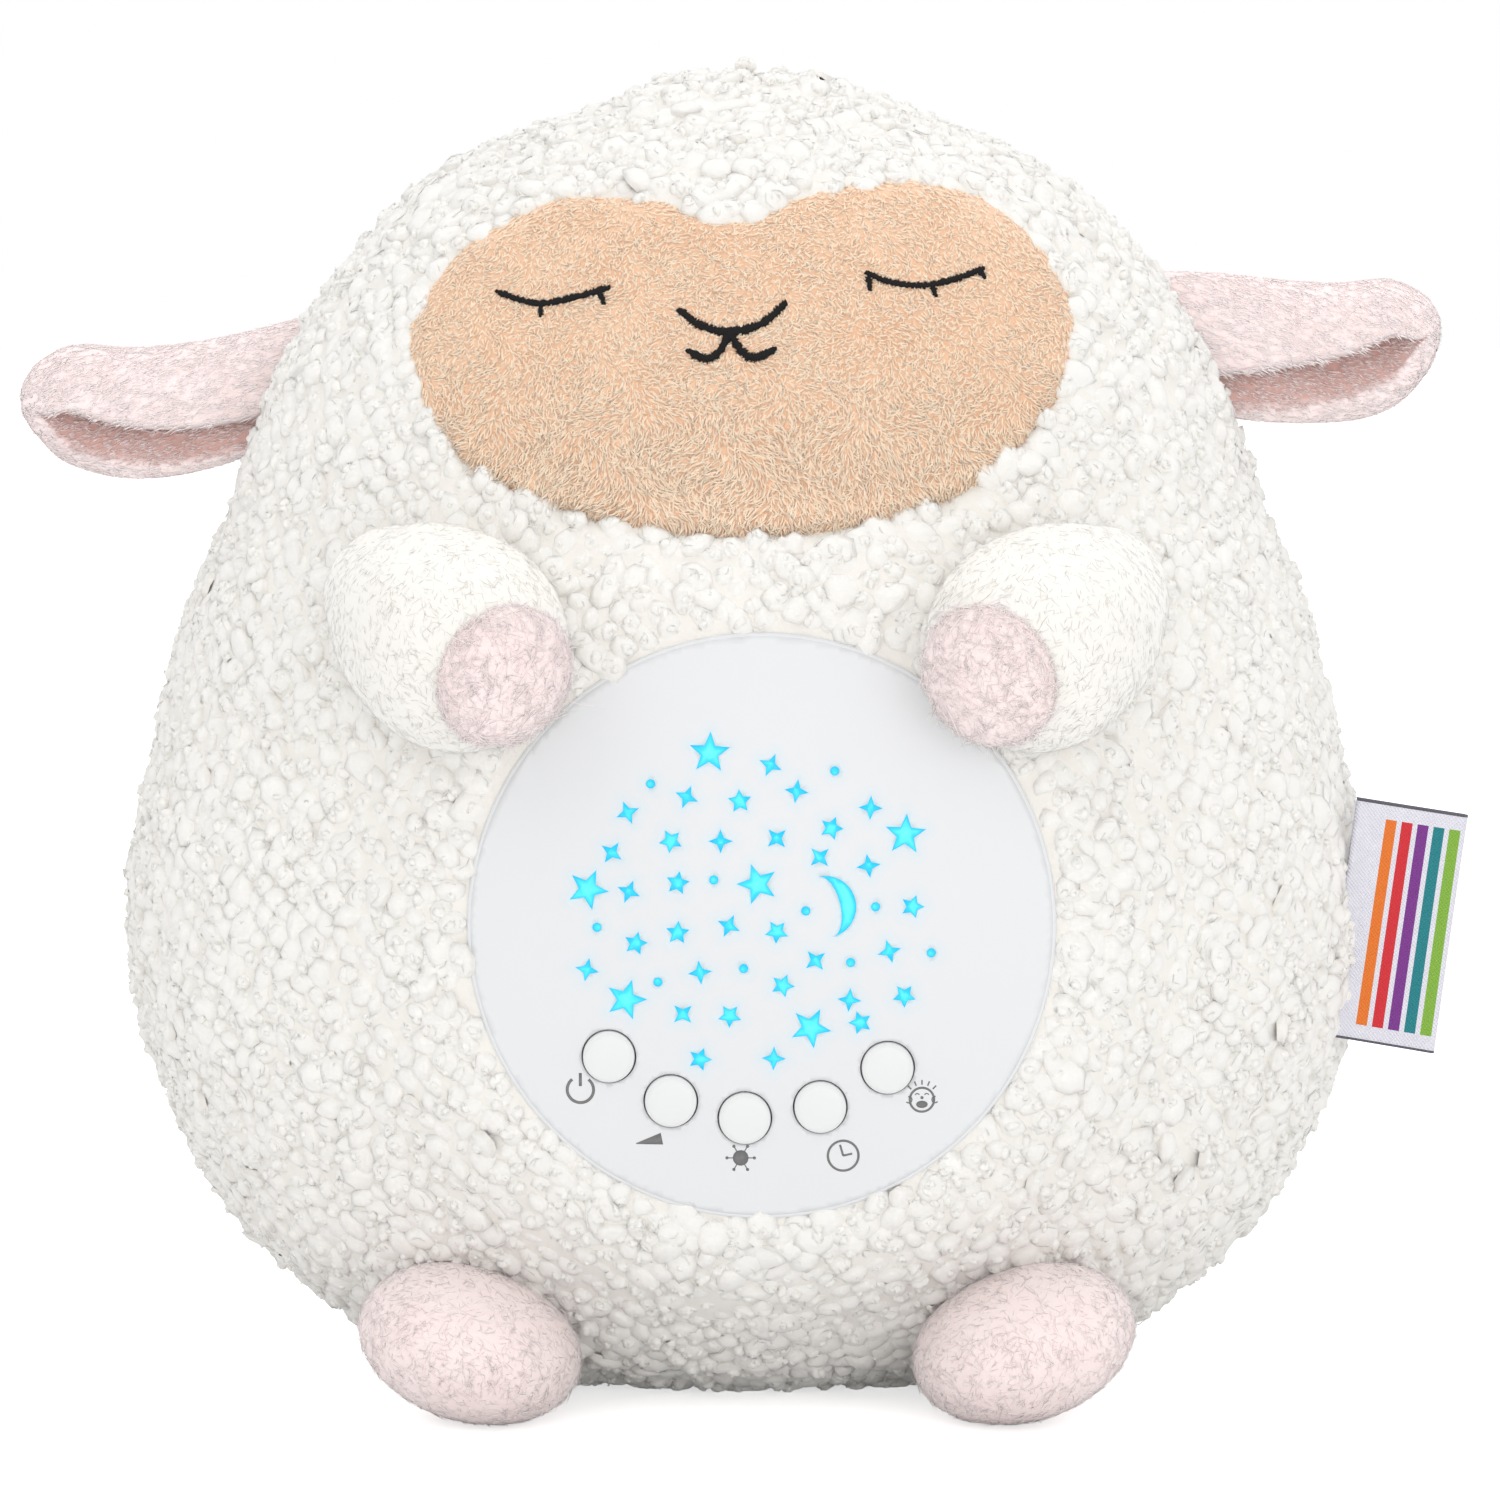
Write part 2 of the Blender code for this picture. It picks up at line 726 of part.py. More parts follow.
def make_front_panel():
    """Dome, rim, skirt and four screw bosses, with the windows and button holes cut through."""
    skirt_end = -(cover_thickness + clamp_ring_thickness + housing_flange_thickness)
    top = dome_rows(0, panel_radius)
    under = dome_rows(panel_thickness, inside_radius)
    profile = top + [(panel_radius, -panel_thickness), (skirt_radius, -panel_thickness)]
    profile += [(skirt_radius, skirt_end), (inside_radius, skirt_end)] + under[::-1]
    mesh = turned(profile, panel_segments)
    boss_root = dome_height(boss_circle_radius) - panel_thickness / 2
    mesh = fused(mesh, boss_cutters(boss_radius, -boss_end_depth, boss_root))
    pilot_low = -boss_end_depth - cut_overrun
    pilot_high = -boss_end_depth + screw_bite + touch_gap
    mesh = cut(mesh, boss_cutters(screw_shank_radius + touch_gap, pilot_low, pilot_high))
    mesh = cut(mesh, *button_prisms(button_hole_radius, -panel_radius, panel_radius))
    mesh = cut(mesh, *window_prisms(touch_gap, -panel_radius, panel_radius))
    place("front_panel", mesh, "white_plastic", panel_matrix)


def make_star_windows():
    """A clear plate behind the dome whose studs fill the stars and the moon."""
    plate_top = panel_thickness + touch_gap
    plate_back = plate_top + window_plate_thickness
    lens = turned(dome_rows(0, tray_radius) + dome_rows(plate_back, tray_radius)[::-1], panel_segments)
    above = dome_rows(plate_top, tray_radius) + [(panel_radius, -plate_top)]
    room = turned(above + [(panel_radius, panel_radius), (0, panel_radius)], panel_segments)
    room = cut(room, *window_prisms(0, -panel_radius, 2 * panel_radius))
    mesh = cut(lens, room)
    mesh = cut(mesh, boss_cutters(boss_radius + touch_gap, -panel_radius, panel_radius))
    mesh = cut(mesh, *button_prisms(button_lip_radius + touch_gap, -panel_radius, panel_radius))
    place("star_windows", mesh, "cyan_window", panel_matrix)


def make_buttons():
    """Each cap stands proud of the dome, a lip keeps it in, and its stem reaches for the keypad."""
    stem_end = keypad_front + keypad_dome_height + touch_gap + button_travel
    for name, (x, y) in button_places.items():
        rest = dome_height(math.hypot(x, y) + button_radius)
        lip_top = -panel_thickness - touch_gap - panel_sagitta * button_radius / panel_radius
        bottom = stem_end - rest
        profile = [
            (0, button_proud + button_crown), (button_radius - 2 * button_crown, button_proud),
            (button_radius, button_proud - 2 * button_crown), (button_radius, lip_top),
            (button_lip_radius, lip_top), (button_lip_radius, lip_top - button_lip_height),
            (button_stem_radius, lip_top - button_lip_height), (button_stem_radius, bottom), (0, bottom),
        ]
        mesh = turned(profile, button_segments)
        place(name, mesh, "white_plastic", panel_matrix @ Matrix.Translation((x, y, rest)))


def make_reflector():
    """A white tray that closes the light chamber, open to the front."""
    wall_top = dome_height(tray_radius) - panel_thickness - window_plate_thickness - 2 * touch_gap
    floor_top = -reflector_depth
    floor_back = floor_top - reflector_thickness
    inner = tray_radius - reflector_wall
    profile = [
        (0, floor_top), (inner, floor_top), (inner, wall_top), (tray_radius, wall_top),
        (tray_radius, floor_back), (0, floor_back),
    ]
    mesh = turned(profile, panel_segments)
    mesh = cut(mesh, boss_cutters(boss_radius + touch_gap, -panel_radius, panel_radius))
    stem_hole = keypad_dome_radius + touch_gap
    mesh = cut(mesh, *button_prisms(stem_hole, -panel_radius, panel_radius, stem_segments))
    led_holes = [
        disc(x, y, led_radius + touch_gap, -panel_radius, panel_radius, stem_segments)
        for x, y in led_places.values()
    ]
    mesh = cut(mesh, joined(led_holes))
    place("reflector", mesh, "white_plastic", panel_matrix)


def make_keypad():
    """A silicone strip along the row of buttons, with a dome under each stem."""
    path = smooth_path(list(button_places.values()), 4)
    half = keypad_dome_radius + keypad_margin / 2
    along = np.gradient(path, axis=0)
    along /= np.linalg.norm(along, axis=1)[:, None]
    side = np.stack([-along[:, 1], along[:, 0]], axis=1)
    path[0] -= along[0] * half
    path[-1] += along[-1] * half
    outline = np.vstack([path + side * half, (path - side * half)[::-1]]).tolist()
    mesh = prism(outline, keypad_front - keypad_thickness, keypad_front)
    shoulder = keypad_dome_height / 2
    for x, y in button_places.values():
        profile = [
            (0, keypad_dome_height), (keypad_dome_radius / 2, keypad_dome_height),
            (keypad_dome_radius, shoulder), (keypad_dome_radius, -keypad_thickness / 2),
            (0, -keypad_thickness / 2),
        ]
        dome = moved(turned(profile, stem_segments), Matrix.Translation((x, y, keypad_front)))
        mesh = fused(mesh, dome)
    mesh = cut(mesh, boss_cutters(boss_radius + touch_gap, -panel_radius, panel_radius))
    place("keypad", mesh, "silicone", panel_matrix)


def make_board():
    """The circuit board with a notch at each boss, and what is soldered to its two faces."""
    mesh = disc(0, 0, tray_radius, board_back, board_front, panel_segments)
    mesh = cut(mesh, boss_cutters(boss_radius + touch_gap, -panel_radius, panel_radius))
    place("main_board", mesh, "circuit_board", panel_matrix)
    for name, (x, y) in led_places.items():
        straight = led_height - led_radius
        profile = [(0, 0), (led_radius + led_flange, 0), (led_radius + led_flange, led_flange_height)]
        profile += [(led_radius, led_flange_height), (led_radius, straight)]
        turns = [math.radians(degrees) for degrees in (30, 60)]
        profile += [(led_radius * math.cos(t), straight + led_radius * math.sin(t)) for t in turns]
        profile.append((0, led_height))
        spot = Matrix.Translation((x, y, board_front + touch_gap))
        place(name, turned(profile, stem_segments), "led_lens", panel_matrix @ spot)
    x, y = microphone_share[0] * panel_radius, microphone_share[1] * panel_radius
    top = board_back - touch_gap
    place("microphone", disc(x, y, microphone_radius, top - microphone_height, top), "steel", panel_matrix)
    x, y = chip_share[0] * panel_radius, chip_share[1] * panel_radius
    low = (x - chip_size / 2, y - chip_size / 2, top - chip_height)
    high = (x + chip_size / 2, y + chip_size / 2, top)
    place("control_chip", box(low, high), "black_plastic", panel_matrix)
    x, y = plug_share[0] * panel_radius, plug_share[1] * panel_radius
    low = (x - plug_width / 2, y - plug_height / 2, top - plug_length)
    high = (x + plug_width / 2, y + plug_height / 2, top)
    place("lead_plug", box(low, high), "white_plastic", panel_matrix)


def make_housing():
    """The clamp ring behind the cover's edge, the rear cup that presses on it, and four screws."""
    outer = skirt_radius + clamp_ring_width
    ring = [
        (housing_inner_radius, clamp_front), (outer, clamp_front), (outer, clamp_back),
        (housing_inner_radius, clamp_back),
    ]
    place("clamp_ring", turned(ring, panel_segments), "white_plastic", panel_matrix)
    flange_back = housing_front - housing_flange_thickness
    floor = -(housing_depth - housing_wall)
    profile = [
        (0, floor), (housing_inner_radius, floor), (housing_inner_radius, housing_front),
        (housing_outer_radius + housing_flange, housing_front),
        (housing_outer_radius + housing_flange, flange_back), (housing_outer_radius, flange_back),
        (housing_outer_radius, -housing_depth), (0, -housing_depth),
    ]
    mesh = turned(profile, panel_segments)
    post_top = -boss_end_depth - touch_gap
    mesh = fused(mesh, boss_cutters(boss_radius, floor - housing_wall / 2, post_top))
    cut_low = -housing_depth - cut_overrun
    mesh = cut(mesh, boss_cutters(screw_shank_radius + touch_gap, cut_low, panel_radius))
    seat = -housing_depth + screw_head_height + 2 * touch_gap
    head_hole = screw_head_radius + touch_gap
    mesh = cut(mesh, boss_cutters(head_hole, cut_low, seat))
    speaker_x, speaker_y = speaker_share[0] * panel_radius, speaker_share[1] * panel_radius
    cut_high = floor + housing_wall
    holes = [disc(speaker_x, speaker_y, grille_hole_radius, cut_low, cut_high, hole_segments)]
    for step in range(grille_hole_count):
        turn = math.tau * step / grille_hole_count
        x = speaker_x + grille_pitch_radius * math.cos(turn)
        y = speaker_y + grille_pitch_radius * math.sin(turn)
        holes.append(disc(x, y, grille_hole_radius, cut_low, cut_high, hole_segments))
    x, y = plug_share[0] * panel_radius, plug_share[1] * panel_radius
    lead_hole = battery_lead_radius + touch_gap
    holes.append(disc(x, y, lead_hole, cut_low, cut_high, hole_segments))
    mesh = cut(mesh, joined(holes))
    place("rear_housing", mesh, "white_plastic", panel_matrix)
    head_top = seat - touch_gap
    shank_end = -boss_end_depth + screw_bite
    for number, (x, y) in enumerate(boss_places, 1):
        profile = [
            (0, shank_end), (screw_shank_radius, shank_end), (screw_shank_radius, head_top),
            (screw_head_radius, head_top), (screw_head_radius, head_top - screw_head_height),
            (0, head_top - screw_head_height),
        ]
        spot = Matrix.Translation((x, y, 0))
        place(f"housing_screw_{number}", turned(profile, boss_segments), "steel", panel_matrix @ spot)


def make_speaker():
    """Frame, paper cone and magnet, firing back through the holes of the rear housing."""
    x, y = speaker_share[0] * panel_radius, speaker_share[1] * panel_radius
    spot = panel_matrix @ Matrix.Translation((x, y, -(housing_depth - housing_wall - touch_gap)))
    inner = speaker_radius - speaker_rim_width
    top = speaker_height
    frame = [
        (inner, 0), (speaker_radius, 0), (speaker_radius, speaker_rim_height),
        (speaker_back_radius, top), (cone_throat_radius + touch_gap, top),
        (cone_throat_radius + touch_gap, top - speaker_wall),
        (speaker_back_radius - speaker_wall, top - speaker_wall),
        (inner, speaker_rim_height - speaker_wall),
    ]
    place("speaker_frame", turned(frame, 20), "steel", spot)
    edge = inner - touch_gap
    throat = cone_throat_radius - touch_gap
    bottom = top - speaker_wall - 2 * touch_gap
    cone = [
        (0, bottom), (throat, bottom), (edge, speaker_wall + cone_thickness), (edge, speaker_wall),
        (throat, bottom - cone_thickness), (0, bottom - cone_thickness),
    ]
    place("speaker_cone", turned(cone, 20), "paper", spot)
    magnet = disc(0, 0, speaker_back_radius, top + touch_gap, top + touch_gap + magnet_height, 20)
    place("speaker_magnet", magnet, "steel", spot)
    edge_x = x - speaker_radius - speaker_lead_radius - touch_gap
    start = -(housing_depth - housing_wall - touch_gap)
    end = board_back - touch_gap
    middle = (start + end) / 2
    slack = speaker_lead_slack
    route = [(edge_x, y, start), (edge_x, y, start + slack), (edge_x - slack, y, middle)]
    route += [(edge_x - 2 * slack, y, end - slack), (edge_x - 2 * slack, y, end)]
    world = [panel_matrix @ Vector(point) for point in smooth_path(route, 3)]
    place("speaker_lead", tube(world, speaker_lead_radius, 6), "red_cable")


# The battery case in the back


cell_spacing = cell_radius * 2 + cell_gap
cavity_half_width = (cell_length + contact_spring_length) / 2 + contact_thickness + touch_gap * 2
case_half_width = cavity_half_width + case_wall
cell_rows_height = cell_spacing * cell_count
case_half_height = (cell_rows_height + case_screw_strip) / 2 + case_wall
cavity_depth = cell_radius * 2 + touch_gap * 2
case_centre_z = body_height * case_height_share
case_top_z = case_centre_z + case_half_height
case_bottom_z = case_centre_z - case_half_height
case_corner_y = min(back_y(case_half_width, case_top_z), back_y(case_half_width, case_bottom_z))
case_back_y = case_corner_y - flap_thickness - case_depth_under_flap
case_front_y = case_back_y - door_thickness - cavity_depth - case_wall
screw_strip_z = case_bottom_z + case_wall + case_screw_strip / 2
cell_axis_y = case_back_y - door_thickness - touch_gap - cell_radius
lead_start = panel_matrix @ Vector((
    plug_share[0] * panel_radius, plug_share[1] * panel_radius, board_back - 2 * touch_gap - plug_length,
))
lead_end = Vector((
    battery_lead_case_x, case_front_y + case_wall - touch_gap, case_centre_z - battery_lead_case_drop,
))


def back_box(half_width, low_z, high_z, low_y, high_y):
    """An upright box about x = 0 in the back of the lamb."""
    return box((-half_width, low_y, low_z), (half_width, high_y, high_z))


def screw_cylinder(radius, low_y, high_y):
    """A round prism on the door screw's axis, which runs along Y."""
    mesh = disc(0, 0, radius, low_y, high_y, boss_segments)
    turn = Matrix(((1, 0, 0, 0), (0, 0, 1, 0), (0, 1, 0, screw_strip_z), (0, 0, 0, 1)))
    return moved(mesh, turn)


def make_battery_case():
    """An open box with a boss for the door screw, and the door that closes it."""
    mesh = back_box(case_half_width, case_bottom_z, case_top_z, case_front_y, case_back_y)
    inside = back_box(
        cavity_half_width, case_bottom_z + case_wall, case_top_z - case_wall,
        case_front_y + case_wall, case_back_y + cut_overrun,
    )
    mesh = cut(mesh, inside)
    boss_top = case_back_y - door_thickness - touch_gap
    mesh = fused(mesh, screw_cylinder(door_boss_radius, case_front_y + case_wall / 2, boss_top))
    pilot = screw_cylinder(screw_shank_radius + touch_gap, boss_top - screw_bite - touch_gap, case_back_y)
    hole_low, hole_high = case_front_y - case_wall, case_front_y + 2 * case_wall
    lead_hole = moved(
        disc(0, 0, battery_lead_radius + touch_gap, hole_low, hole_high, 10),
        Matrix(((1, 0, 0, lead_end.x), (0, 0, 1, 0), (0, 1, 0, lead_end.z), (0, 0, 0, 1))),
    )
    place("battery_case", cut(mesh, pilot, lead_hole), "white_plastic")
    door = back_box(
        cavity_half_width - touch_gap, case_bottom_z + case_wall + touch_gap,
        case_top_z - case_wall - touch_gap, case_back_y - door_thickness, case_back_y,
    )
    hole = screw_cylinder(screw_shank_radius + touch_gap, case_front_y, case_back_y + cut_overrun)
    place("battery_door", cut(door, hole), "white_plastic")
    head = screw_cylinder(
        screw_head_radius, case_back_y + touch_gap, case_back_y + touch_gap + screw_head_height,
    )
    shank = screw_cylinder(screw_shank_radius, boss_top - screw_bite, case_back_y + screw_head_height / 2)
    place("door_screw", fused(head, shank), "steel")


def make_cells():
    """Three cells in turn each way round, and the two contact strips at their ends."""
    top_z = case_top_z - case_wall - cell_spacing / 2
    for number in range(cell_count):
        way = 1 if number % 2 == 0 else -1
        z = top_z - number * cell_spacing
        half = cell_length / 2
        profile = [
            (0, half), (cell_nub_radius, half), (cell_nub_radius, half - cell_nub_length),
            (cell_radius, half - cell_nub_length), (cell_radius, -half), (0, -half),
        ]
        shift = way * contact_spring_length / 2
        turn = Matrix(((0, 0, way, shift), (0, 1, 0, cell_axis_y), (-way, 0, 0, z), (0, 0, 0, 1)))
        place(f"battery_{number + 1}", turned(profile, 20), "cell_wrap", turn)
    low_z = case_bottom_z + case_wall + case_screw_strip
    high_z = case_top_z - case_wall - touch_gap
    low_y, high_y = case_front_y + case_wall + touch_gap, case_back_y - door_thickness - touch_gap
    for name, side in (("contact_strip_left", 1), ("contact_strip_right", -1)):
        outer = side * (cavity_half_width - touch_gap)
        inner = outer - side * contact_thickness
        mesh = box((min(outer, inner), low_y, low_z), (max(outer, inner), high_y, high_z))
        for number in range(cell_count):
            way = 1 if number % 2 == 0 else -1
            if way == side:
                continue
            reach = contact_spring_length - 2 * touch_gap
            spring = turned(
                [(0, -contact_thickness / 2), (contact_spring_radius, -contact_thickness / 2),
                 (contact_spring_radius, 0), (contact_spring_radius / 2, reach), (0, reach)], 10,
            )
            z = top_z - number * cell_spacing
            turn = Matrix(((0, 0, -side, inner), (0, 1, 0, cell_axis_y), (side, 0, 0, z), (0, 0, 0, 1)))
            mesh = fused(mesh, moved(spring, turn))
        place(name, mesh, "steel")


def battery_lead_path():
    """Straight out of the plug, across the stuffing, and straight into the battery case."""
    straight = battery_lead_straight
    housing_back_y = rim_plane_y + housing_depth
    case_entry_y = case_front_y - straight
    route = [tuple(lead_start), (lead_start.x, housing_back_y, lead_start.z)]
    route.append((lead_start.x, housing_back_y + straight, lead_start.z))
    for back_share, across_share in battery_lead_bend_shares:
        route.append((
            lead_start.x + (lead_end.x - lead_start.x) * across_share,
            housing_back_y + straight + (case_entry_y - housing_back_y - straight) * back_share,
            lead_start.z + (lead_end.z - lead_start.z) * across_share,
        ))
    route += [(lead_end.x, case_entry_y, lead_end.z), tuple(lead_end)]
    return smooth_path(route, 4)


# Soft pieces


face_z = body_height * face_height_share
face_half_height = body_height * face_half_height_share
arm_ball_z = body_height * arm_ball_height_share
arm_seam_z = body_height * arm_seam_height_share
arm_ball_y = front_y(arm_ball_x, arm_ball_z) - arm_ball_standoff
foot_x = body_half_width * foot_across_share
foot_y = -body_half_depth * foot_forward_share
tag_y = -body_half_depth * tag_forward_share
tag_centre_z = body_height * tag_height_share
tag_inner_x = side_x(tag_y, tag_centre_z) - tag_sewn_depth


def face_outline(grow):
    """The face patch's smooth outline in the front view."""
    points = [(face_x + x * face_half_width, face_z + z * face_half_height) for x, z in face_outline_shares]
    return grown(smooth_path(points, 2, closed=True), grow)


def make_face():
    """A tan patch let into the cover."""
    patch = shared(front_prism(face_outline(0)), body_solid(face_recess))
    place("face_patch", cut(patch, lining_solid(cover_thickness)), "tan_plush")


def make_embroidery(name, place_share, half_width, strokes):
    """Satin-stitched strokes that lie on the face patch."""
    middle_x = face_x + place_share[0] * face_half_width
    middle_z = face_z + place_share[1] * face_half_height
    ribbons = []
    for stroke in strokes:
        path = smooth_path([(middle_x + x * half_width, middle_z + z * half_width) for x, z in stroke], 2)
        along = np.gradient(path, axis=0)
        along /= np.linalg.norm(along, axis=1)[:, None]
        side = np.stack([-along[:, 1], along[:, 0]], axis=1) * thread_width / 2
        ribbons.append(front_prism(np.vstack([path + side, (path - side)[::-1]]).tolist()))
    top = face_recess - touch_gap - thread_height
    place(name, shell_piece(fused(*ribbons), top, face_recess - touch_gap), "black_thread")


def ear_frame(side, root_z):
    """The middle of an ear's root line, just under the cover's side, and the line's direction."""
    x = side * (side_x(ear_y, root_z) - ear_bead_inset)
    step = ear_bead_radius
    lean = side_x(ear_y, root_z + step) - side_x(ear_y, root_z - step)
    return Vector((x, ear_y, root_z)), Vector((side * lean, 0, 2 * step)).normalized()


def ear_bead(side, root_z, edge_shares, length, grow):
    """The round sewn edge of an ear, on its hinge line."""
    _, line = ear_frame(side, root_z)
    upper, lower = edge_shares[0]
    half = length * math.dist(upper, lower) / 2 + ear_bead_radius / 2 + grow
    mesh = disc(0, 0, ear_bead_radius + grow, -half, half, 14)
    return moved(mesh, Vector((0, 0, 1)).rotation_difference(line).to_matrix().to_4x4())


def make_ear(name, side, root_z, length, edge_shares, tip_share):
    """A folded leaf: rounded sections with a pocket slit into their front, from root to tip."""
    root, line = ear_frame(side, root_z)
    slit = math.radians(ear_slit_half_angle_deg)
    outer_turns = np.linspace(slit, math.tau - slit, ear_segments)
    pocket_turns = np.radians(ear_pocket_turns_deg)
    points = []
    sections = zip(edge_shares, ear_thickness_shares, ear_pocket_shares)
    for (upper, lower), thick_share, pocket_share in sections:
        top = length * np.array((side * upper[0], upper[1]))
        bottom = length * np.array((side * lower[0], lower[1]))
        middle, half = (top + bottom) / 2, (top - bottom) / 2
        thick = ear_half_thickness * thick_share
        depth = ear_pocket_depth * thick_share * pocket_share
        lip = math.sin(slit)
        heights = list(np.sin(outer_turns)) + list(lip * ear_pocket_swell_share * np.sin(pocket_turns))
        fronts = list(-thick * np.cos(outer_turns))
        fronts += list(-thick * math.cos(slit) + depth * np.cos(pocket_turns))
        for rise, front in zip(heights, fronts):
            points.append((middle[0] + half[0] * rise, front, middle[1] + half[1] * rise))
    count = ear_segments + len(pocket_turns)
    faces = [tuple(range(count))]
    for row in range(len(edge_shares) - 1):
        for step in range(count):
            after = (step + 1) % count
            low, high = row * count, (row + 1) * count
            faces.append((low + step, low + after, high + after, high + step))
    last = (len(edge_shares) - 1) * count
    points.append((side * length * tip_share[0], 0, length * tip_share[1]))
    faces += [(last + step, last + (step + 1) % count, len(points) - 1) for step in range(count)]
    mesh = fused(closed_mesh(points, faces), ear_bead(side, root_z, edge_shares, length, 0))
    place(name, mesh, "pink_plush", Matrix.Translation(root))


ear_right_root_z = body_height * ear_right_root_share
ear_left_root_z = body_height * ear_left_root_share
ears = [
    ("ear_right", -1, ear_right_root_z, ear_right_length, ear_right_edge_shares, ear_right_tip_share),
    ("ear_left", 1, ear_left_root_z, ear_left_length, ear_left_edge_shares, ear_left_tip_share),
]


def make_arm(suffix, side):
    """A tapered stub with a ball end, cut to the chest, and its paw end; both turn at the sewn seam."""
    seam = Vector((side * arm_seam_x, front_y(arm_seam_x, arm_seam_z), arm_seam_z))
    heading = Vector((side * arm_heading[0], arm_heading[1], arm_heading[2])).normalized()
    turn = Vector((0, 0, 1)).rotation_difference(heading).to_matrix().to_4x4()
    middle = Matrix.Translation((side * arm_ball_x, arm_ball_y, arm_ball_z))
    stub = turned([(r * arm_radius, z * arm_radius) for z, r in arm_profile_shares], arm_segments)
    stub = cut(moved(stub, middle @ turn), body_solid(-touch_gap), panel_clearance())
    back = Matrix.Translation(-seam)
    place(f"arm_{suffix}", moved(stub, back), "cream_plush", Matrix.Translation(seam))
    paw = turned([(r * arm_radius, z * arm_radius) for z, r in paw_profile_shares], arm_segments)
    paw = moved(paw, middle @ turn @ Matrix.Translation((0, 0, touch_gap)))
    place(f"paw_{suffix}", moved(paw, back), "pink_plush", Matrix.Translation(seam))


def make_foot(suffix, side):
    """An egg tilted outwards, cut to the body and flat on the ground."""
    turns = np.linspace(0, math.pi, foot_rings + 1)
    rows = [(0 if step in (0, foot_rings) else math.sin(t), math.cos(t)) for step, t in enumerate(turns)]
    size = Matrix.Diagonal((foot_half_width, foot_half_depth, foot_half_height, 1))
    egg = moved(turned(rows, foot_segments), size)
    tilt = math.radians(foot_tilt_deg)
    rise = math.hypot(foot_half_width * math.sin(tilt), foot_half_height * math.cos(tilt)) - foot_sole_cut
    spot = Matrix.Translation((side * foot_x, foot_y, rise))
    egg = moved(egg, spot @ Matrix.Rotation(-side * tilt, 4, "Y"))
    ground = box((-body_half_width, -body_half_width, -cut_overrun), (body_half_width, body_half_width, 0))
    place(f"foot_{suffix}", cut(egg, body_solid(-touch_gap), ground), "pink_plush")


tag_turn = Matrix.Rotation(math.radians(tag_tilt_deg), 4, "Y")
tag_matrix = Matrix.Translation((tag_inner_x, tag_y, tag_centre_z)) @ tag_turn


def make_tag():
    """A strip folded at its outer end, its two plies sewn into the side seam."""
    reach = tag_opening / 2 + tag_ply
    middle = tag_width - reach
    turns = np.linspace(-math.pi / 2, math.pi / 2, tag_fold_steps + 1)
    outer = [(middle + reach * math.cos(t), reach * math.sin(t)) for t in turns]
    inner = [(middle + tag_opening / 2 * math.cos(t), tag_opening / 2 * math.sin(t)) for t in turns[::-1]]
    outline = [(-tag_hidden_length, -reach)] + outer + [(-tag_hidden_length, reach)]
    outline += [(-tag_hidden_length, tag_opening / 2)] + inner + [(-tag_hidden_length, -tag_opening / 2)]
    mesh = moved(prism(outline, -tag_height / 2, tag_height / 2), tag_matrix)
    place("side_tag", cut(mesh, body_solid(tag_seam_depth)), "woven_label")


def tag_slot():
    """The slit in the seam that takes the tag's two plies."""
    reach = tag_opening / 2 + tag_ply + touch_gap
    half = tag_height / 2 + touch_gap
    slot = moved(box((-tag_hidden_length, -reach, -half), (tag_width, reach, half)), tag_matrix)
    return cut(slot, body_solid(tag_seam_depth + touch_gap))


tape_high_z = case_bottom_z - tape_top_margin
tape_low_z = tape_high_z - tape_height
flap_bottom_z = tape_low_z - tape_bottom_margin
flap_top_z = case_top_z + flap_top_margin
flap_half_width = case_half_width + flap_side_margin
flap_outline = rounded_rectangle(flap_half_width, flap_bottom_z, flap_top_z, flap_corner_radius)
tape_outline = rounded_rectangle(tape_half_width, tape_low_z, tape_high_z, tape_bottom_margin / 2, 1)
hook_top = flap_thickness + touch_gap
loop_top = hook_top + tape_thickness + touch_gap


def make_back_flap():
    """The flap's origin is on its top seam, where the body's surface stands furthest out."""
    hinge_y = body_half_depth * width_share(flap_top_z)
    hinge = Matrix.Translation((0, hinge_y, flap_top_z))
    flap = shell_piece(back_prism(flap_outline), 0, flap_thickness)
    place("back_flap", moved(flap, hinge.inverted()), "fleece", hinge)
    hook = shell_piece(back_prism(tape_outline), hook_top, hook_top + tape_thickness)
    place("hook_tape", moved(hook, hinge.inverted()), "tape", hinge)
    loop = shell_piece(back_prism(tape_outline), loop_top, loop_top + tape_thickness)
    place("loop_tape", loop, "tape")


def front_half():
    """All that lies in front of the lamb's middle."""
    reach = body_height + cut_overrun
    return box((-reach, -reach, -reach), (reach, 0, reach))


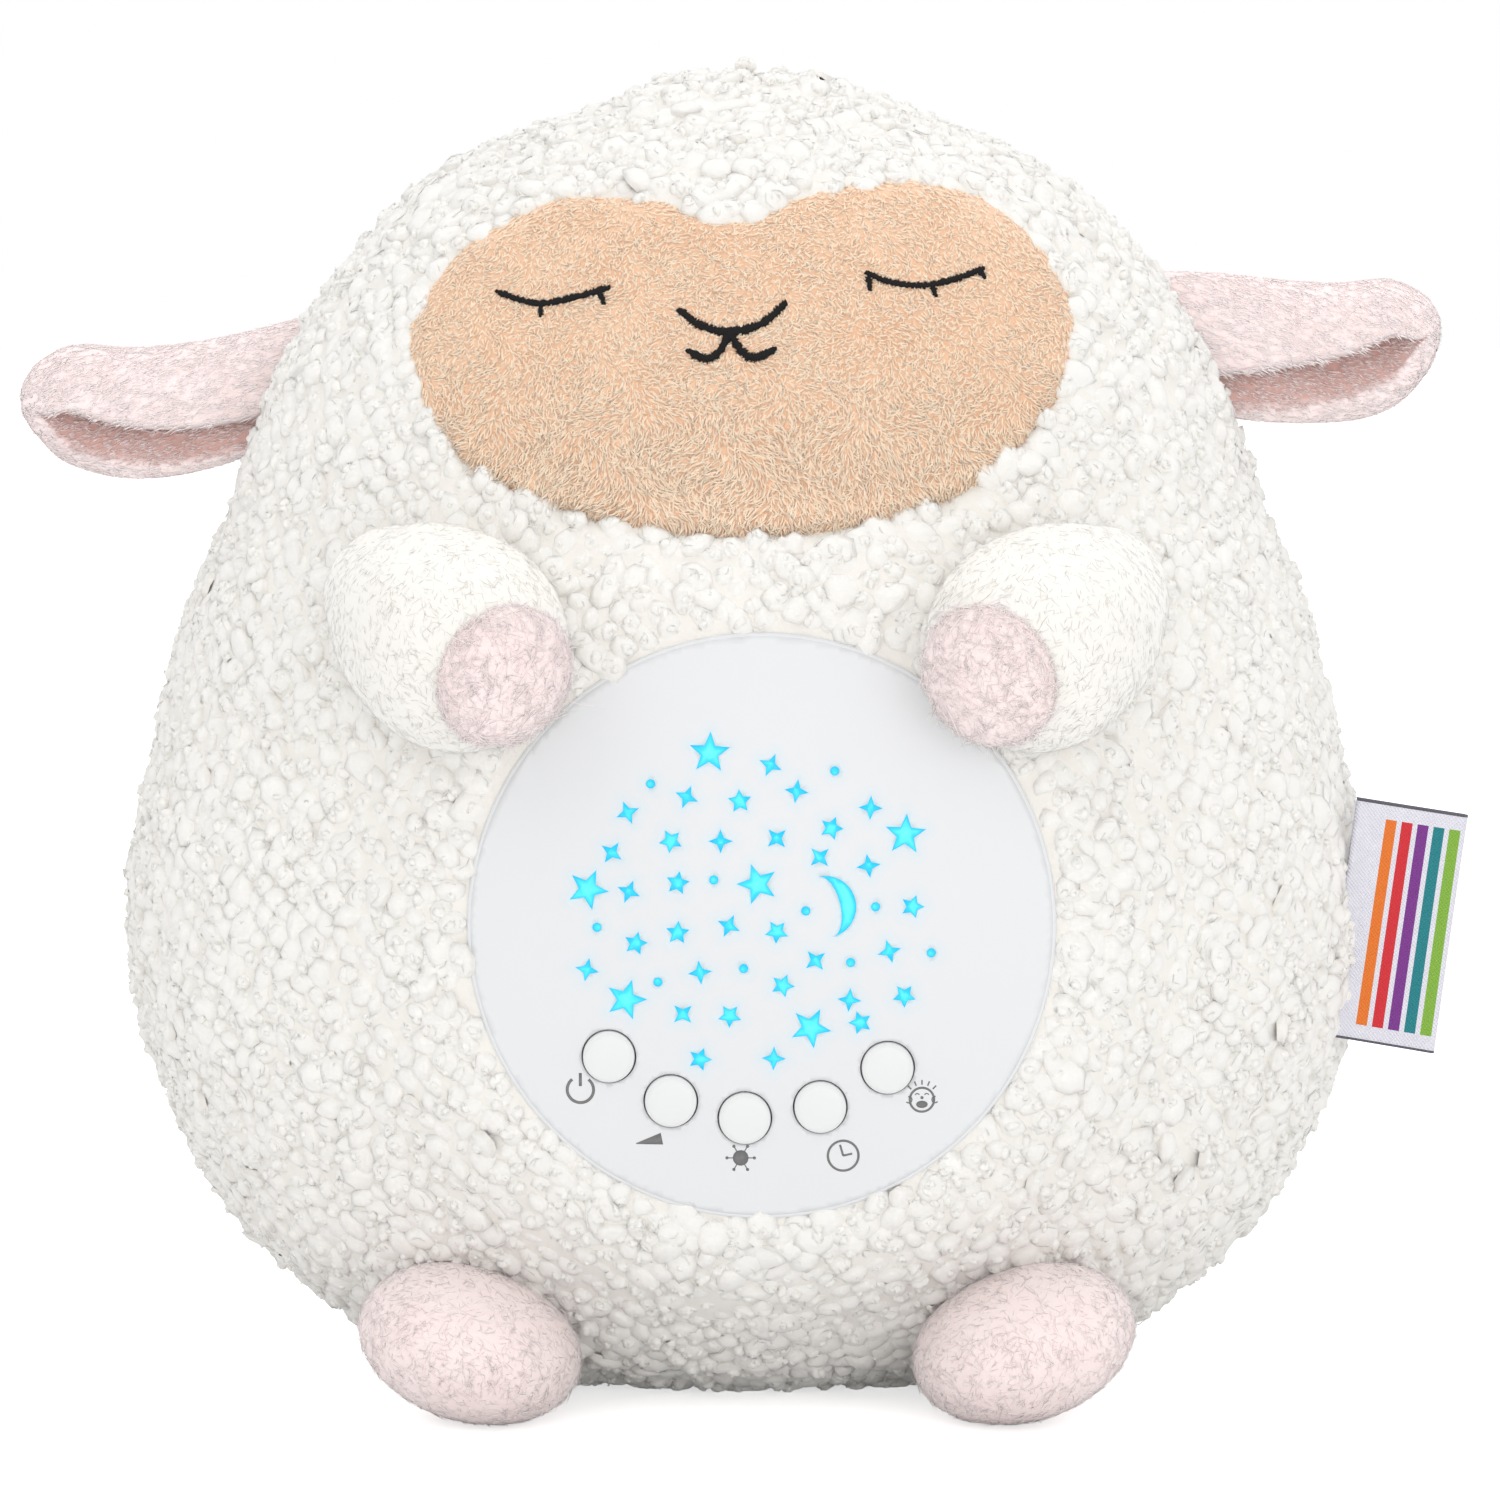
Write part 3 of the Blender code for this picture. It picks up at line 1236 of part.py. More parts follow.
def make_cover():
    """The sewn fleece shell, open for the module, the battery case, the face, ears, flap and tag."""
    mesh = cut(body_solid(0), lining_solid(cover_thickness))
    opening = disc(0, 0, module_hollow_radius, -body_half_depth, panel_radius, panel_segments)
    seat = -panel_thickness - touch_gap
    seat_disc = disc(0, 0, panel_radius + touch_gap, seat, panel_radius, panel_segments)
    mesh = cut(mesh, moved(seat_disc, panel_matrix))
    mesh = cut(mesh, shared(moved(opening, panel_matrix), front_half()))
    ring_room = disc(0, 0, flange_hollow_radius, -housing_depth, clamp_front + touch_gap, panel_segments)
    mesh = cut(mesh, moved(ring_room, panel_matrix))
    mesh = cut(mesh, front_prism(face_outline(touch_gap)))
    mesh = cut(mesh, recess(back_prism(grown(flap_outline, flap_gap)), flap_thickness + touch_gap))
    tape_floor = loop_top + tape_thickness + touch_gap
    mesh = cut(mesh, recess(back_prism(grown(tape_outline, flap_gap)), tape_floor))
    case_hole = back_box(
        case_half_width + touch_gap, case_bottom_z - touch_gap, case_top_z + touch_gap,
        0, body_half_depth + cut_overrun,
    )
    mesh = cut(mesh, case_hole, tag_slot())
    for _, side, root_z, length, edge_shares, _ in ears:
        root, _ = ear_frame(side, root_z)
        groove = moved(ear_bead(side, root_z, edge_shares, length, touch_gap), Matrix.Translation(root))
        mesh = cut(mesh, groove)
    place("fleece_cover", mesh, "fleece")


def make_stuffing():
    """The fibre filling, with hollows for the module, the battery case and the lead."""
    mesh = lining_solid(cover_thickness + touch_gap)
    flange_back = housing_front - housing_flange_thickness - touch_gap
    front_hollow = disc(0, 0, flange_hollow_radius, flange_back, panel_radius, panel_segments)
    cup_radius = housing_outer_radius + touch_gap
    hollow = disc(0, 0, cup_radius, -housing_depth - touch_gap, panel_radius, panel_segments)
    mesh = cut(mesh, moved(front_hollow, panel_matrix), moved(hollow, panel_matrix))
    case_hollow = back_box(
        case_half_width + touch_gap, case_bottom_z - touch_gap, case_top_z + touch_gap,
        case_front_y - touch_gap, body_half_depth + cut_overrun,
    )
    channel = tube(battery_lead_path(), battery_lead_radius + touch_gap, battery_lead_sides)
    place("stuffing", cut(mesh, case_hollow, channel), "stuffing")
    place("battery_lead", tube(battery_lead_path(), battery_lead_radius, battery_lead_sides), "red_cable")


# Building every piece

make_cover()
make_stuffing()
make_face()
make_embroidery("eye_right", eye_right_place_share, eye_half_width, eye_right_stroke_shares)
make_embroidery("eye_left", eye_left_place_share, eye_half_width, eye_left_stroke_shares)
make_embroidery("mouth", mouth_place_share, mouth_half_width, mouth_stroke_shares)
for ear in ears:
    make_ear(*ear)
for suffix, side in (("right", -1), ("left", 1)):
    make_arm(suffix, side)
    make_foot(suffix, side)
make_tag()
make_back_flap()
make_front_panel()
make_star_windows()
make_buttons()
make_reflector()
make_keypad()
make_board()
make_housing()
make_speaker()
make_battery_case()
make_cells()
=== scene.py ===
"""Plush night light: a sleeping lamb in curly fleece with a round star-light panel in its belly.

Laid out as a Blender add-on: one operator for each piece or group, and a sidebar panel that lists them.
World frame in metres: +Z up, the lamb faces -Y, and its left side is +X.
"""

import math

import bpy
import numpy as np
from mathutils import Matrix, Vector
from mathutils.geometry import delaunay_2d_cdt


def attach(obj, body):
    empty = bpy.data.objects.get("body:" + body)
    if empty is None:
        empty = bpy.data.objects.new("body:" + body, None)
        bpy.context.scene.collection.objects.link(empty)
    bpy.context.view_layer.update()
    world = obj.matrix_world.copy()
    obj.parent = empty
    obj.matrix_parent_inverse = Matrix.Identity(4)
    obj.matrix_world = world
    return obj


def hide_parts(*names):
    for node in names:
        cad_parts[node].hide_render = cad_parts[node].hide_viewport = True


bl_info = {
    "name": "Plush night light",
    "version": (1, 0, 0),
    "blender": (4, 5, 0),
    "location": "3D View > Sidebar > Lamb",
    "description": "Builds a plush lamb night light from surfaces worked out with numpy",
    "category": "Add Mesh",
}

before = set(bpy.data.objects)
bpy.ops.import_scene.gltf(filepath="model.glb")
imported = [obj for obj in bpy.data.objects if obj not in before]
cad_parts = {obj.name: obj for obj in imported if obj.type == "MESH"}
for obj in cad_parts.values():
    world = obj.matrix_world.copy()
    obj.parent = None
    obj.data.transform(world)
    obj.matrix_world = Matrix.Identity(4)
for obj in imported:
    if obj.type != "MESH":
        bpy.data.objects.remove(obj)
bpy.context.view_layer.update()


# The body's form, as the solids have it
BODY_HEIGHT = 0.260
BODY_HALF_WIDTH = 0.1238
BODY_HALF_DEPTH = 0.089
FRONT_BLEND_WIDTH = 0.028
BODY_PROFILE_SHARES = [
    (0, 0), (0.006, 0.115), (0.024, 0.225), (0.085, 0.525), (0.200, 0.735), (0.326, 0.838),
    (0.417, 0.914), (0.508, 0.960), (0.615, 1), (0.719, 0.984), (0.81, 0.908), (0.90, 0.767),
    (0.965, 0.58), (1, 0.35),
]

# The panel: its middle, its rim and the rise of its dome
PANEL_X = 0.0028
PANEL_Z = 0.09802
PANEL_RADIUS = 0.0558
PANEL_RISE = 0.004
PANEL_THICKNESS = 0.0022
PANEL_EDGE = 0.0007
PANEL_SKIRT_STEP = 0.0058
PANEL_SKIRT_DEPTH = 0.009
PANEL_SKIRT_WALL = 0.002
PANEL_SKIRT_FRONT = 0.0012
LATTICE_STRETCH = 1.16
LATTICE_OFF_EDGE = 0.0006
LATTICE_OFF_OUTLINES = 0.0003
WINDOW_THICKNESS = 0.0012
WINDOW_BRIGHT_DEPTH = 0.0012
WINDOW_GLOW = 0.38
HALO_STRENGTH = 0.24
RIM_Y = -0.084
PANEL_MATRIX = Matrix(((1, 0, 0, PANEL_X), (0, 0, -1, RIM_Y), (0, 1, 0, PANEL_Z), (0, 0, 0, 1)))

# The screw bosses behind the panel
BOSS_TURNS_DEG = (50, 130, 195, 345)
BOSS_CIRCLE = 0.0440
BOSS_BORE = 0.0015
BOSS_RADIUS = 0.0032
BOSS_FRONT = 0.0008
BOSS_BACK = 0.0175

# Light windows, as shares of the panel radius, each with the turn of one point in degrees
BIG_STARS = [
    (-0.176, 0.595, 87), (0.486, 0.318, 86), (-0.588, 0.132, -6), (-0.014, 0.152, 36),
    (-0.459, -0.243, 1), (0.166, -0.338, -9),
]
SMALL_STARS = [
    (-0.074, 0.432, 94), (-0.307, 0.297, 46), (0.236, 0.341, -3), (-0.284, 0.155, 8),
    (-0.284, -0.014, 86), (-0.426, -0.051, 5), (0.051, -0.010, 50), (0.510, 0.074, -1),
    (0.071, -0.193, -5), (-0.108, -0.297, 52), (0.483, -0.230, 54), (0.334, -0.321, 36),
    (-0.209, -0.446, -2),
]
SPARKLES = [
    (0.030, 0.554, 66), (-0.253, 0.446, 68), (0.118, 0.466, -8), (-0.453, 0.392, 22),
    (0.368, 0.409, -3), (-0.139, 0.297, 0), (0.051, 0.307, 43), (0.196, 0.243, 43),
    (0.361, 0.213, 8), (-0.507, 0.257, 55), (-0.449, 0.125, -22), (-0.111, 0.010, -25),
    (0.182, -0.108, 39), (0.432, -0.078, 15), (-0.591, -0.142, -11), (-0.209, -0.149, 7),
    (0.297, -0.243, -5), (-0.267, -0.291, 44), (0.041, -0.443, -2),
]
DOTS = [
    (-0.375, 0.490), (0.247, 0.534), (-0.162, 0.166), (0.149, 0.061), (0.385, 0.074),
    (-0.557, 0.003), (0.574, -0.084), (-0.061, -0.135), (0.301, -0.115), (-0.351, -0.182),
]
# Each kind of star: its number of points, its radius and its waist as a share of that
BIG_STAR = (5, 0.0040, 0.43)
SMALL_STAR = (5, 0.0023, 0.50)
SPARKLE = (4, 0.0023, 0.40)
DOT_RADIUS = 0.00088
MOON = (0.214, 0.074)
MOON_TURN_DEG = 13.7
MOON_RADIUS = 0.0059
MOON_BITE = 0.0029
BUTTONS = {
    "power": (-0.518, -0.439),
    "volume": (-0.308, -0.591),
    "light": (-0.057, -0.649),
    "timer": (0.199, -0.611),
    "sound": (0.427, -0.477),
}
SYMBOLS = {
    "power": (-0.615, -0.554),
    "volume": (-0.378, -0.723),
    "light": (-0.071, -0.787),
    "timer": (0.277, -0.780),
    "sound": (0.544, -0.588),
}
BUTTON_RADIUS = 0.0049
BUTTON_STEM_RADIUS = 0.002
BUTTON_STEM_DEPTH = 0.0055
BUTTON_LIP_DROP = 0.0007
BUTTON_LIP_HEIGHT = 0.001
BUTTON_TOP = 0.0016
BUTTON_EDGE = 0.0007
BUTTON_CROWN = 0.0003
BUTTON_LIP = 0.0006

# The face patch and its embroidery
FACE_X = -0.001
FACE_Z = 0.2030
FACE_HALF_WIDTH = 0.064
FACE_HALF_HEIGHT = 0.034
FACE_OUTLINE_SHARES = [
    (-0.02, 0.83), (-0.28, 0.93), (-0.52, 0.94), (-0.79, 0.73), (-0.96, 0.36), (-1, 0.08),
    (-0.96, -0.25), (-0.86, -0.50), (-0.69, -0.69), (-0.45, -0.84), (-0.18, -0.92), (0.05, -0.93),
    (0.32, -0.89), (0.62, -0.74), (0.80, -0.52), (0.95, -0.19), (1, 0.19), (0.96, 0.50),
    (0.84, 0.78), (0.66, 0.98), (0.42, 1.04), (0.17, 0.94),
]
EYE_RIGHT_STROKES = [
    [(-0.98, 0), (-0.62, -0.13), (-0.20, -0.20), (0.40, -0.09), (0.98, 0.08)],
    [(-0.20, -0.17), (-0.20, -0.30), (-0.21, -0.42)],
    [(0.78, 0.03), (0.84, -0.08), (0.88, -0.20)],
]
EYE_LEFT_STROKES = [
    [(-1.02, -0.02), (-0.60, -0.19), (-0.05, -0.25), (0.50, -0.15), (1.02, 0.03)],
    [(-0.96, -0.02), (-0.97, -0.17), (-0.95, -0.32)],
    [(0.11, -0.20), (0.14, -0.33), (0.18, -0.43)],
    [(0.90, 0), (0.98, -0.06), (1.03, -0.14)],
]
MOUTH_STROKES = [
    [(-0.98, 0.39), (-0.56, 0.10), (-0.04, -0.02), (0.54, 0.12), (1.02, 0.51)],
    [(0, 0.02), (-0.22, -0.38), (-0.47, -0.51), (-0.82, -0.35)],
    [(-0.06, 0.02), (0.20, -0.38), (0.46, -0.49), (0.83, -0.33)],
]
EMBROIDERY = [
    ("eye_right", (-0.566, 0.418), 0.0112, EYE_RIGHT_STROKES),
    ("eye_left", (0.550, 0.535), 0.0112, EYE_LEFT_STROKES),
    ("mouth", (-0.031, 0.206), 0.0103, MOUTH_STROKES),
]

# The ears: name, side, root height, length, upper and lower edge points as shares, and the tip
EAR_Y = 0.003
EARS = [
    ("right", -1, 0.19971, 0.0540, [
        ((-0.100, 0.215), (0.020, -0.250)), ((0.137, 0.151), (0.226, -0.335)),
        ((0.356, 0.108), (0.447, -0.385)), ((0.575, 0.088), (0.648, -0.387)),
        ((0.794, 0.097), (0.830, -0.332)), ((0.920, 0.040), (0.930, -0.240)),
        ((0.968, -0.015), (0.970, -0.185)), ((0.988, -0.055), (0.988, -0.145)),
    ], (0.992, -0.098)),
    ("left", 1, 0.20719, 0.0510, [
        ((-0.118, 0.243), (0.040, -0.290)), ((0.110, 0.238), (0.255, -0.335)),
        ((0.347, 0.213), (0.475, -0.345)), ((0.584, 0.198), (0.683, -0.330)),
        ((0.792, 0.213), (0.835, -0.268)), ((0.920, 0.160), (0.942, -0.150)),
        ((0.968, 0.110), (0.980, -0.070)), ((0.988, 0.070), (0.993, -0.015)),
    ], (0.996, 0.028)),
]
EAR_THICKNESS_SHARES = (0.35, 0.66, 0.92, 1, 0.90, 0.62, 0.40, 0.22)
EAR_HALF_THICKNESS = 0.0068
EAR_SLIT_DEG = 20
EAR_ROOT_TURN_DEG = -46
EAR_TWIST_DEG = {"right": 26, "left": 42}
EAR_ROOT_DEPTH = 0.0040

# The arms and feet
SIDES = (("right", -1), ("left", 1))
ARM_X = 0.0535
ARM_Z = 0.15179
ARM_STANDOFF = 0.01485
ARM_RADIUS = 0.0205
ARM_HEADING = (-0.50, -0.82, -0.28)
ARM_PROFILE_SHARES = [
    (-1.60, 0.60), (-1.25, 0.74), (-0.75, 0.92), (-0.25, 1.0), (0.10, 0.99), (0.45, 0.87), (0.76, 0.65),
]
PAW_PROFILE_SHARES = [(0.66, 0.58), (0.80, 0.66), (0.97, 0.60), (1.10, 0.42), (1.17, 0.18), (1.18, 0)]
FOOT_X = 0.05348
FOOT_Y = -0.06203
FOOT_SIZE = (0.0218, 0.027, 0.0145)
FOOT_TILT_DEG = 17
FOOT_PRESSED = 0.0005
FOOT_PILE_OUT = 1.02
FOOT_PILE_AHEAD = 0.014
FOOT_PILE_UP = 0.002

# The side tag and the back
TAG_Y = -0.02198
TAG_Z = 0.09209
TAG_SEWN_DEPTH = 0.0072
TAG_WIDTH = 0.0265
TAG_HEIGHT = 0.0475
TAG_TILT_DEG = 8
TAG_RAISE = 0.0018
TAG_PATH_START = 0.0042
TAG_BEND = 0.0016
TAG_SAG = 0.0006
TAG_EDGE_LINE = 0.0005
TWILL_REPEATS = 1300
RIB_REPEATS = 2600
STRIPE_COLOURS = [(236, 121, 32), (214, 36, 48), (122, 45, 140), (14, 128, 136), (132, 180, 60)]
STRIPE_START = 0.0072
STRIPE_STEP = 0.0032
STRIPE_HALF_WIDTH = 0.0011
STRIPE_HALF_HEIGHT = 0.0205
TAG_PLY = 0.0006
TAG_OPENING = 0.0015
FLAP_HALF_WIDTH = 0.03795
FLAP_LOW_Z = 0.0485
FLAP_HIGH_Z = 0.13
FLAP_CORNER = 0.010
FLAP_FRONT_INSET = 0.0012
FLAP_BACK_INSET = 0.0020
FLAP_BED_INSET = 0.0036
CASE_HALF_WIDTH = 0.02965
CASE_LOW_Z = 0.0664
CASE_HIGH_Z = 0.1236
TAPE_HALF_WIDTH = 0.024
TAPE_LOW_Z = 0.0525
TAPE_HIGH_Z = 0.0635
TAPE_THICKNESS = 0.0004

# The filling: how deep it lies, and where it is hollowed in front and behind
FILL_INSET = 0.0066
FILL_HOLLOW_RADII = (0.0590, 0.0625)
FILL_FRONT_Y = -0.0445
FILL_BACK_Y = 0.0590
FILL_OFF_CASE = 0.0012
FILL_CASE_FADE = 0.003

# The fleece: its backing's grid and depth, its value of painted shade between curls, and how far tufts keep
# off the rest
COAT_GRID = (112, 208)
BACKING_INSET = 0.0008
BACKING_SINK = 0.0043
CREVICE_SHADE_VALUE = -0.35
PANEL_CLEAR = 0.0011
FACE_TOP_CLEAR = 0.0006
FACE_LOW_OVERLAP = 0.0004
FLAP_CLEAR = 0.0009
TAG_END_CLEAR = 0.001
TAG_FACE_CLEAR = 0.0012
MODULE_OPENING_RADIUS = 0.0515
FLAP_OPENING_MARGIN = 0.004
FLOOR_CLEAR = 0.0001

# How far the pile stands off the sewn pattern at the sides, by height
FULLNESS = np.array([
    (0, 0.0012), (0.014, 0.0018), (0.034, 0.0022), (0.056, 0.0004), (0.09, -0.0004), (0.14, -0.0011),
    (0.21, -0.0016), (0.24, -0.0008), (0.26, 0),
])


# The stage: each lamp's name, place, width and power, and how bright the floor and the world are
LAMPS = [
    ("key", (-0.9, -1.5, 1.5), 1.1, 2.5), ("fill", (0.3, -1.4, 0.08), 1.1, 6.5),
    ("top", (0.1, 0.3, 1.8), 1.2, 7.5),
]
FLOOR_GLOW = 0.6
WORLD_LIGHT = 0.89
CAMERA_TARGET = (0.0006, 0, 0.1242)


# Small mathematics on whole arrays


def smooth_path(points, steps, closed=False):
    """A Catmull-Rom curve: cubic pieces that pass through every point, with the given steps in each."""
    known = np.array(points, dtype=float)
    if closed:
        known = np.vstack([known[-1:], known, known[:2]])
    else:
        known = np.vstack([2 * known[:1] - known[1:2], known, 2 * known[-1:] - known[-2:-1]])
    before, start, end, after = (known[i:len(known) - 3 + i, None] for i in range(4))
    t = (np.arange(steps) / steps)[None, :, None]
    first = (end - before) * t
    square = (2 * before - 5 * start + 4 * end - after) * t**2
    cubic = (3 * start - before - 3 * end + after) * t**3
    rows = ((2 * start + first + square + cubic) / 2).reshape(-1, known.shape[1])
    return rows if closed else np.vstack([rows, known[-2]])


def unit(vectors):
    """Each vector divided by its own length."""
    return vectors / np.maximum(np.linalg.norm(vectors, axis=-1, keepdims=True), 1e-12)


def smoothstep(low, high, value):
    """Zero below low, one above high, and 3t squared less 2t cubed between them."""
    t = np.clip((value - low) / (high - low), 0, 1)
    return t * t * (3 - 2 * t)


def around(count):
    """Even turns over a full circle."""
    return np.arange(count) * math.tau / count


def on_circle(turns):
    """The cosine and the sine of each turn."""
    return np.stack([np.cos(turns), np.sin(turns)], axis=-1)


def bearing(turn_deg):
    """A direction in a plane, from its turn in degrees."""
    turn = math.radians(turn_deg)
    return np.array((math.cos(turn), math.sin(turn)))


BODY_CURVE = smooth_path(BODY_PROFILE_SHARES, 12)


def width_share(z):
    """The body's half width at a height, as a share of its greatest."""
    return np.interp(1 - z / BODY_HEIGHT, BODY_CURVE[:, 0], BODY_CURVE[:, 1])


def blend_to_rim(x, y, z, inset):
    """The front drawn towards the panel's rim plane: a smoothstep of the distance from the panel."""
    away = np.hypot(x - PANEL_X, z - PANEL_Z)
    weight = smoothstep(0, 1, (PANEL_RADIUS + FRONT_BLEND_WIDTH - away) / FRONT_BLEND_WIDTH)
    return np.where(y < 0, y + weight * (RIM_Y + inset - y), y)


def front_y(x, z, inset=0):
    """The body's front at a place seen from the front: an ellipse at each height, blended to the rim."""
    share = np.maximum(width_share(z), 0.02)
    across = np.clip(x / ((BODY_HALF_WIDTH - inset) * share), -1, 1)
    y = -(BODY_HALF_DEPTH - inset) * share * np.sqrt(1 - across**2)
    return blend_to_rim(x, y, z, inset)


def back_y(x, z, inset=0):
    """The body's back at a place seen from behind: the same ellipse without the blend."""
    share = width_share(z)
    across = np.clip(x / ((BODY_HALF_WIDTH - inset) * share), -1, 1)
    return (BODY_HALF_DEPTH - inset) * share * np.sqrt(1 - across**2)


def side_x(y, z):
    """The body's side at a depth and a height, as a distance from its middle."""
    share = width_share(z)
    return BODY_HALF_WIDTH * share * math.sqrt(1 - (y / (BODY_HALF_DEPTH * share)) ** 2)


def body_point(turn, row, inset):
    """The body's surface at a turn about Z and a row of its profile curve, moved in by the inset."""
    spots = np.arange(len(BODY_CURVE))
    down, wide = np.interp(row, spots, BODY_CURVE[:, 0]), np.interp(row, spots, BODY_CURVE[:, 1])
    z = inset + (BODY_HEIGHT - 2 * inset) * (1 - down)
    x = (BODY_HALF_WIDTH - inset) * wide * np.sin(turn)
    y = -(BODY_HALF_DEPTH - inset) * wide * np.cos(turn)
    return np.stack([x, blend_to_rim(x, y, z, inset), z], axis=-1)


def body_frames(turn, row):
    """Points of the body's surface with two tangents and the outward normal, by small differences."""
    small = 0.01
    last = len(BODY_CURVE) - 1
    low, high = np.clip(row - small, 0.05, last), np.clip(row + small, 0.06, last)
    across = unit(body_point(turn + small, row, 0) - body_point(turn - small, row, 0))
    downward = unit(body_point(turn, high, 0) - body_point(turn, low, 0))
    normal = unit(np.cross(downward, across))
    return body_point(turn, row, 0), across, np.cross(normal, across), normal


def spread_over_body(count, rng, jitter):
    """Even places on the body: a golden-angle spiral through equal areas, each moved a little."""
    rows = np.linspace(0, len(BODY_CURVE) - 1, 4000)
    spots = np.arange(len(BODY_CURVE))
    down, wide = np.interp(rows, spots, BODY_CURVE[:, 0]), np.interp(rows, spots, BODY_CURVE[:, 1])
    middle_radius = (BODY_HALF_WIDTH + BODY_HALF_DEPTH) / 2
    step = np.hypot(np.diff(down) * BODY_HEIGHT, np.diff(wide) * middle_radius)
    area = np.concatenate([[0], np.cumsum(step * (wide[1:] + wide[:-1]))])
    order = np.arange(count)
    wanted = (order + 0.5 + rng.uniform(-jitter, jitter, count) * math.sqrt(count) / 2) / count
    row = np.interp(np.clip(wanted, 0, 1) * area[-1], area, rows)
    turns = np.linspace(0, math.tau, 721)
    pace = np.hypot(np.cos(turns) * BODY_HALF_WIDTH, np.sin(turns) * BODY_HALF_DEPTH)
    travelled = np.concatenate([[0], np.cumsum((pace[1:] + pace[:-1]) / 2)])
    shift = rng.uniform(-jitter, jitter, count) * 0.28 / math.sqrt(count)
    share = (order * (math.sqrt(5) - 1) / 2 + shift) % 1
    return np.interp(share * travelled[-1], travelled, turns), row


def outline_radius(outline, middle, angle):
    """How far a star-shaped outline reaches from its middle at an angle."""
    away = outline - np.array(middle)
    angles, reach = np.arctan2(away[:, 1], away[:, 0]), np.hypot(away[:, 0], away[:, 1])
    order = np.argsort(angles)
    return np.interp(angle, angles[order], reach[order], period=math.tau)


FACE_OUTLINE = smooth_path(FACE_OUTLINE_SHARES, 8, closed=True) * (FACE_HALF_WIDTH, FACE_HALF_HEIGHT)
FACE_OUTLINE = FACE_OUTLINE + (FACE_X, FACE_Z)


def face_margin(x, z):
    """How far a place lies outside the face patch's outline, less than zero inside it."""
    reach = outline_radius(FACE_OUTLINE, (FACE_X, FACE_Z), np.arctan2(z - FACE_Z, x - FACE_X))
    return np.hypot(x - FACE_X, z - FACE_Z) - reach


def flap_margin(x, z):
    """How far a place lies outside the flap's rounded rectangle, less than zero inside it."""
    middle, half = (FLAP_LOW_Z + FLAP_HIGH_Z) / 2, (FLAP_HIGH_Z - FLAP_LOW_Z) / 2
    out_x = np.abs(x) - FLAP_HALF_WIDTH + FLAP_CORNER
    out_z = np.abs(z - middle) - half + FLAP_CORNER
    outside = np.hypot(np.maximum(out_x, 0), np.maximum(out_z, 0))
    return outside + np.minimum(np.maximum(out_x, out_z), 0) - FLAP_CORNER


# Mesh helpers


def grid_faces(rows, columns, wrap=False, flip=False):
    """Corner numbers of the quads between neighbouring rows and columns of a grid of points."""
    row = np.arange(rows - 1)[:, None]
    column = np.arange(columns if wrap else columns - 1)[None]
    after = (column + 1) % columns
    low, high = row * columns, (row + 1) * columns
    quads = np.stack([low + column, low + after, high + after, high + column], axis=-1).reshape(-1, 4)
    return quads[:, ::-1] if flip else quads


def joined(parts):
    """Several (points, faces) pairs as one, with the corner numbers moved on."""
    points, faces, start = [], [], 0
    for part_points, part_faces in parts:
        points.append(np.asarray(part_points, dtype=float).reshape(-1, 3))
        faces += [np.asarray(group) + start for group in part_faces]
        start += len(points[-1])
    return np.vstack(points), faces


def add_piece(
    name, body, finish, points, faces, replaces=(), slot=None, values=None, uv=None, uv_name="OFBake",
):
    """Puts arrays of points and faces into a mesh object that rides on a body of the frame."""
    mesh = bpy.data.meshes.new(name)
    points = np.asarray(points, dtype=np.float32).reshape(-1, 3)
    loops = np.concatenate([group.ravel() for group in faces]).astype(np.int32)
    totals = np.concatenate([np.full(len(group), group.shape[1]) for group in faces])
    starts = np.concatenate([[0], np.cumsum(totals)[:-1]]).astype(np.int32)
    mesh.vertices.add(len(points))
    mesh.vertices.foreach_set("co", points.ravel())
    mesh.loops.add(len(loops))
    mesh.loops.foreach_set("vertex_index", loops)
    mesh.polygons.add(len(totals))
    mesh.polygons.foreach_set("loop_start", starts)
    mesh.polygons.foreach_set("use_smooth", np.ones(len(totals), dtype=bool))
    mesh.update(calc_edges=True)
    for key, value in (values or {}).items():
        layer = mesh.attributes.new(key, "FLOAT", "POINT")
        layer.data.foreach_set("value", np.asarray(value, dtype=np.float32).ravel())
    if uv is not None:
        layer = mesh.uv_layers.new(name=uv_name)
        layer.data.foreach_set("uv", np.asarray(uv, dtype=np.float32).reshape(-1, 2)[loops].ravel())
    mesh.materials.append(finish)
    item = bpy.data.objects.new(name, mesh)
    bpy.context.scene.collection.objects.link(item)
    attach(item, body)
    if replaces:
        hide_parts(*replaces)
    return item


def lathe(profile, segments, matrix):
    """A profile of (radius, height) rows turned about the matrix's Z axis; a zero radius is a pole."""
    profile = np.array(profile, dtype=float)
    flat = profile[:, None, :1] * on_circle(around(segments))[None]
    points = np.concatenate([flat, np.broadcast_to(profile[:, None, 1:], flat.shape[:2] + (1,))], axis=-1)
    return moved(points.reshape(-1, 3), matrix), [grid_faces(len(profile), segments, wrap=True)]


def moved(points, matrix):
    """Points with a 4 by 4 matrix applied."""
    matrix = np.array(matrix)
    return points @ matrix[:3, :3].T + matrix[:3, 3]


def thickened(points, faces, drop):
    """A sheet of faces made solid: a copy moved by the drop and turned over, and walls round every edge."""
    count = len(points)
    start, end = faces.ravel(), np.roll(faces, -1, axis=1).ravel()
    edge = ~np.isin(start * count + end, end * count + start)
    walls = np.stack([end[edge], start[edge], start[edge] + count, end[edge] + count], axis=-1)
    return np.vstack([points, points + drop]), [faces, faces[:, ::-1] + count, walls]


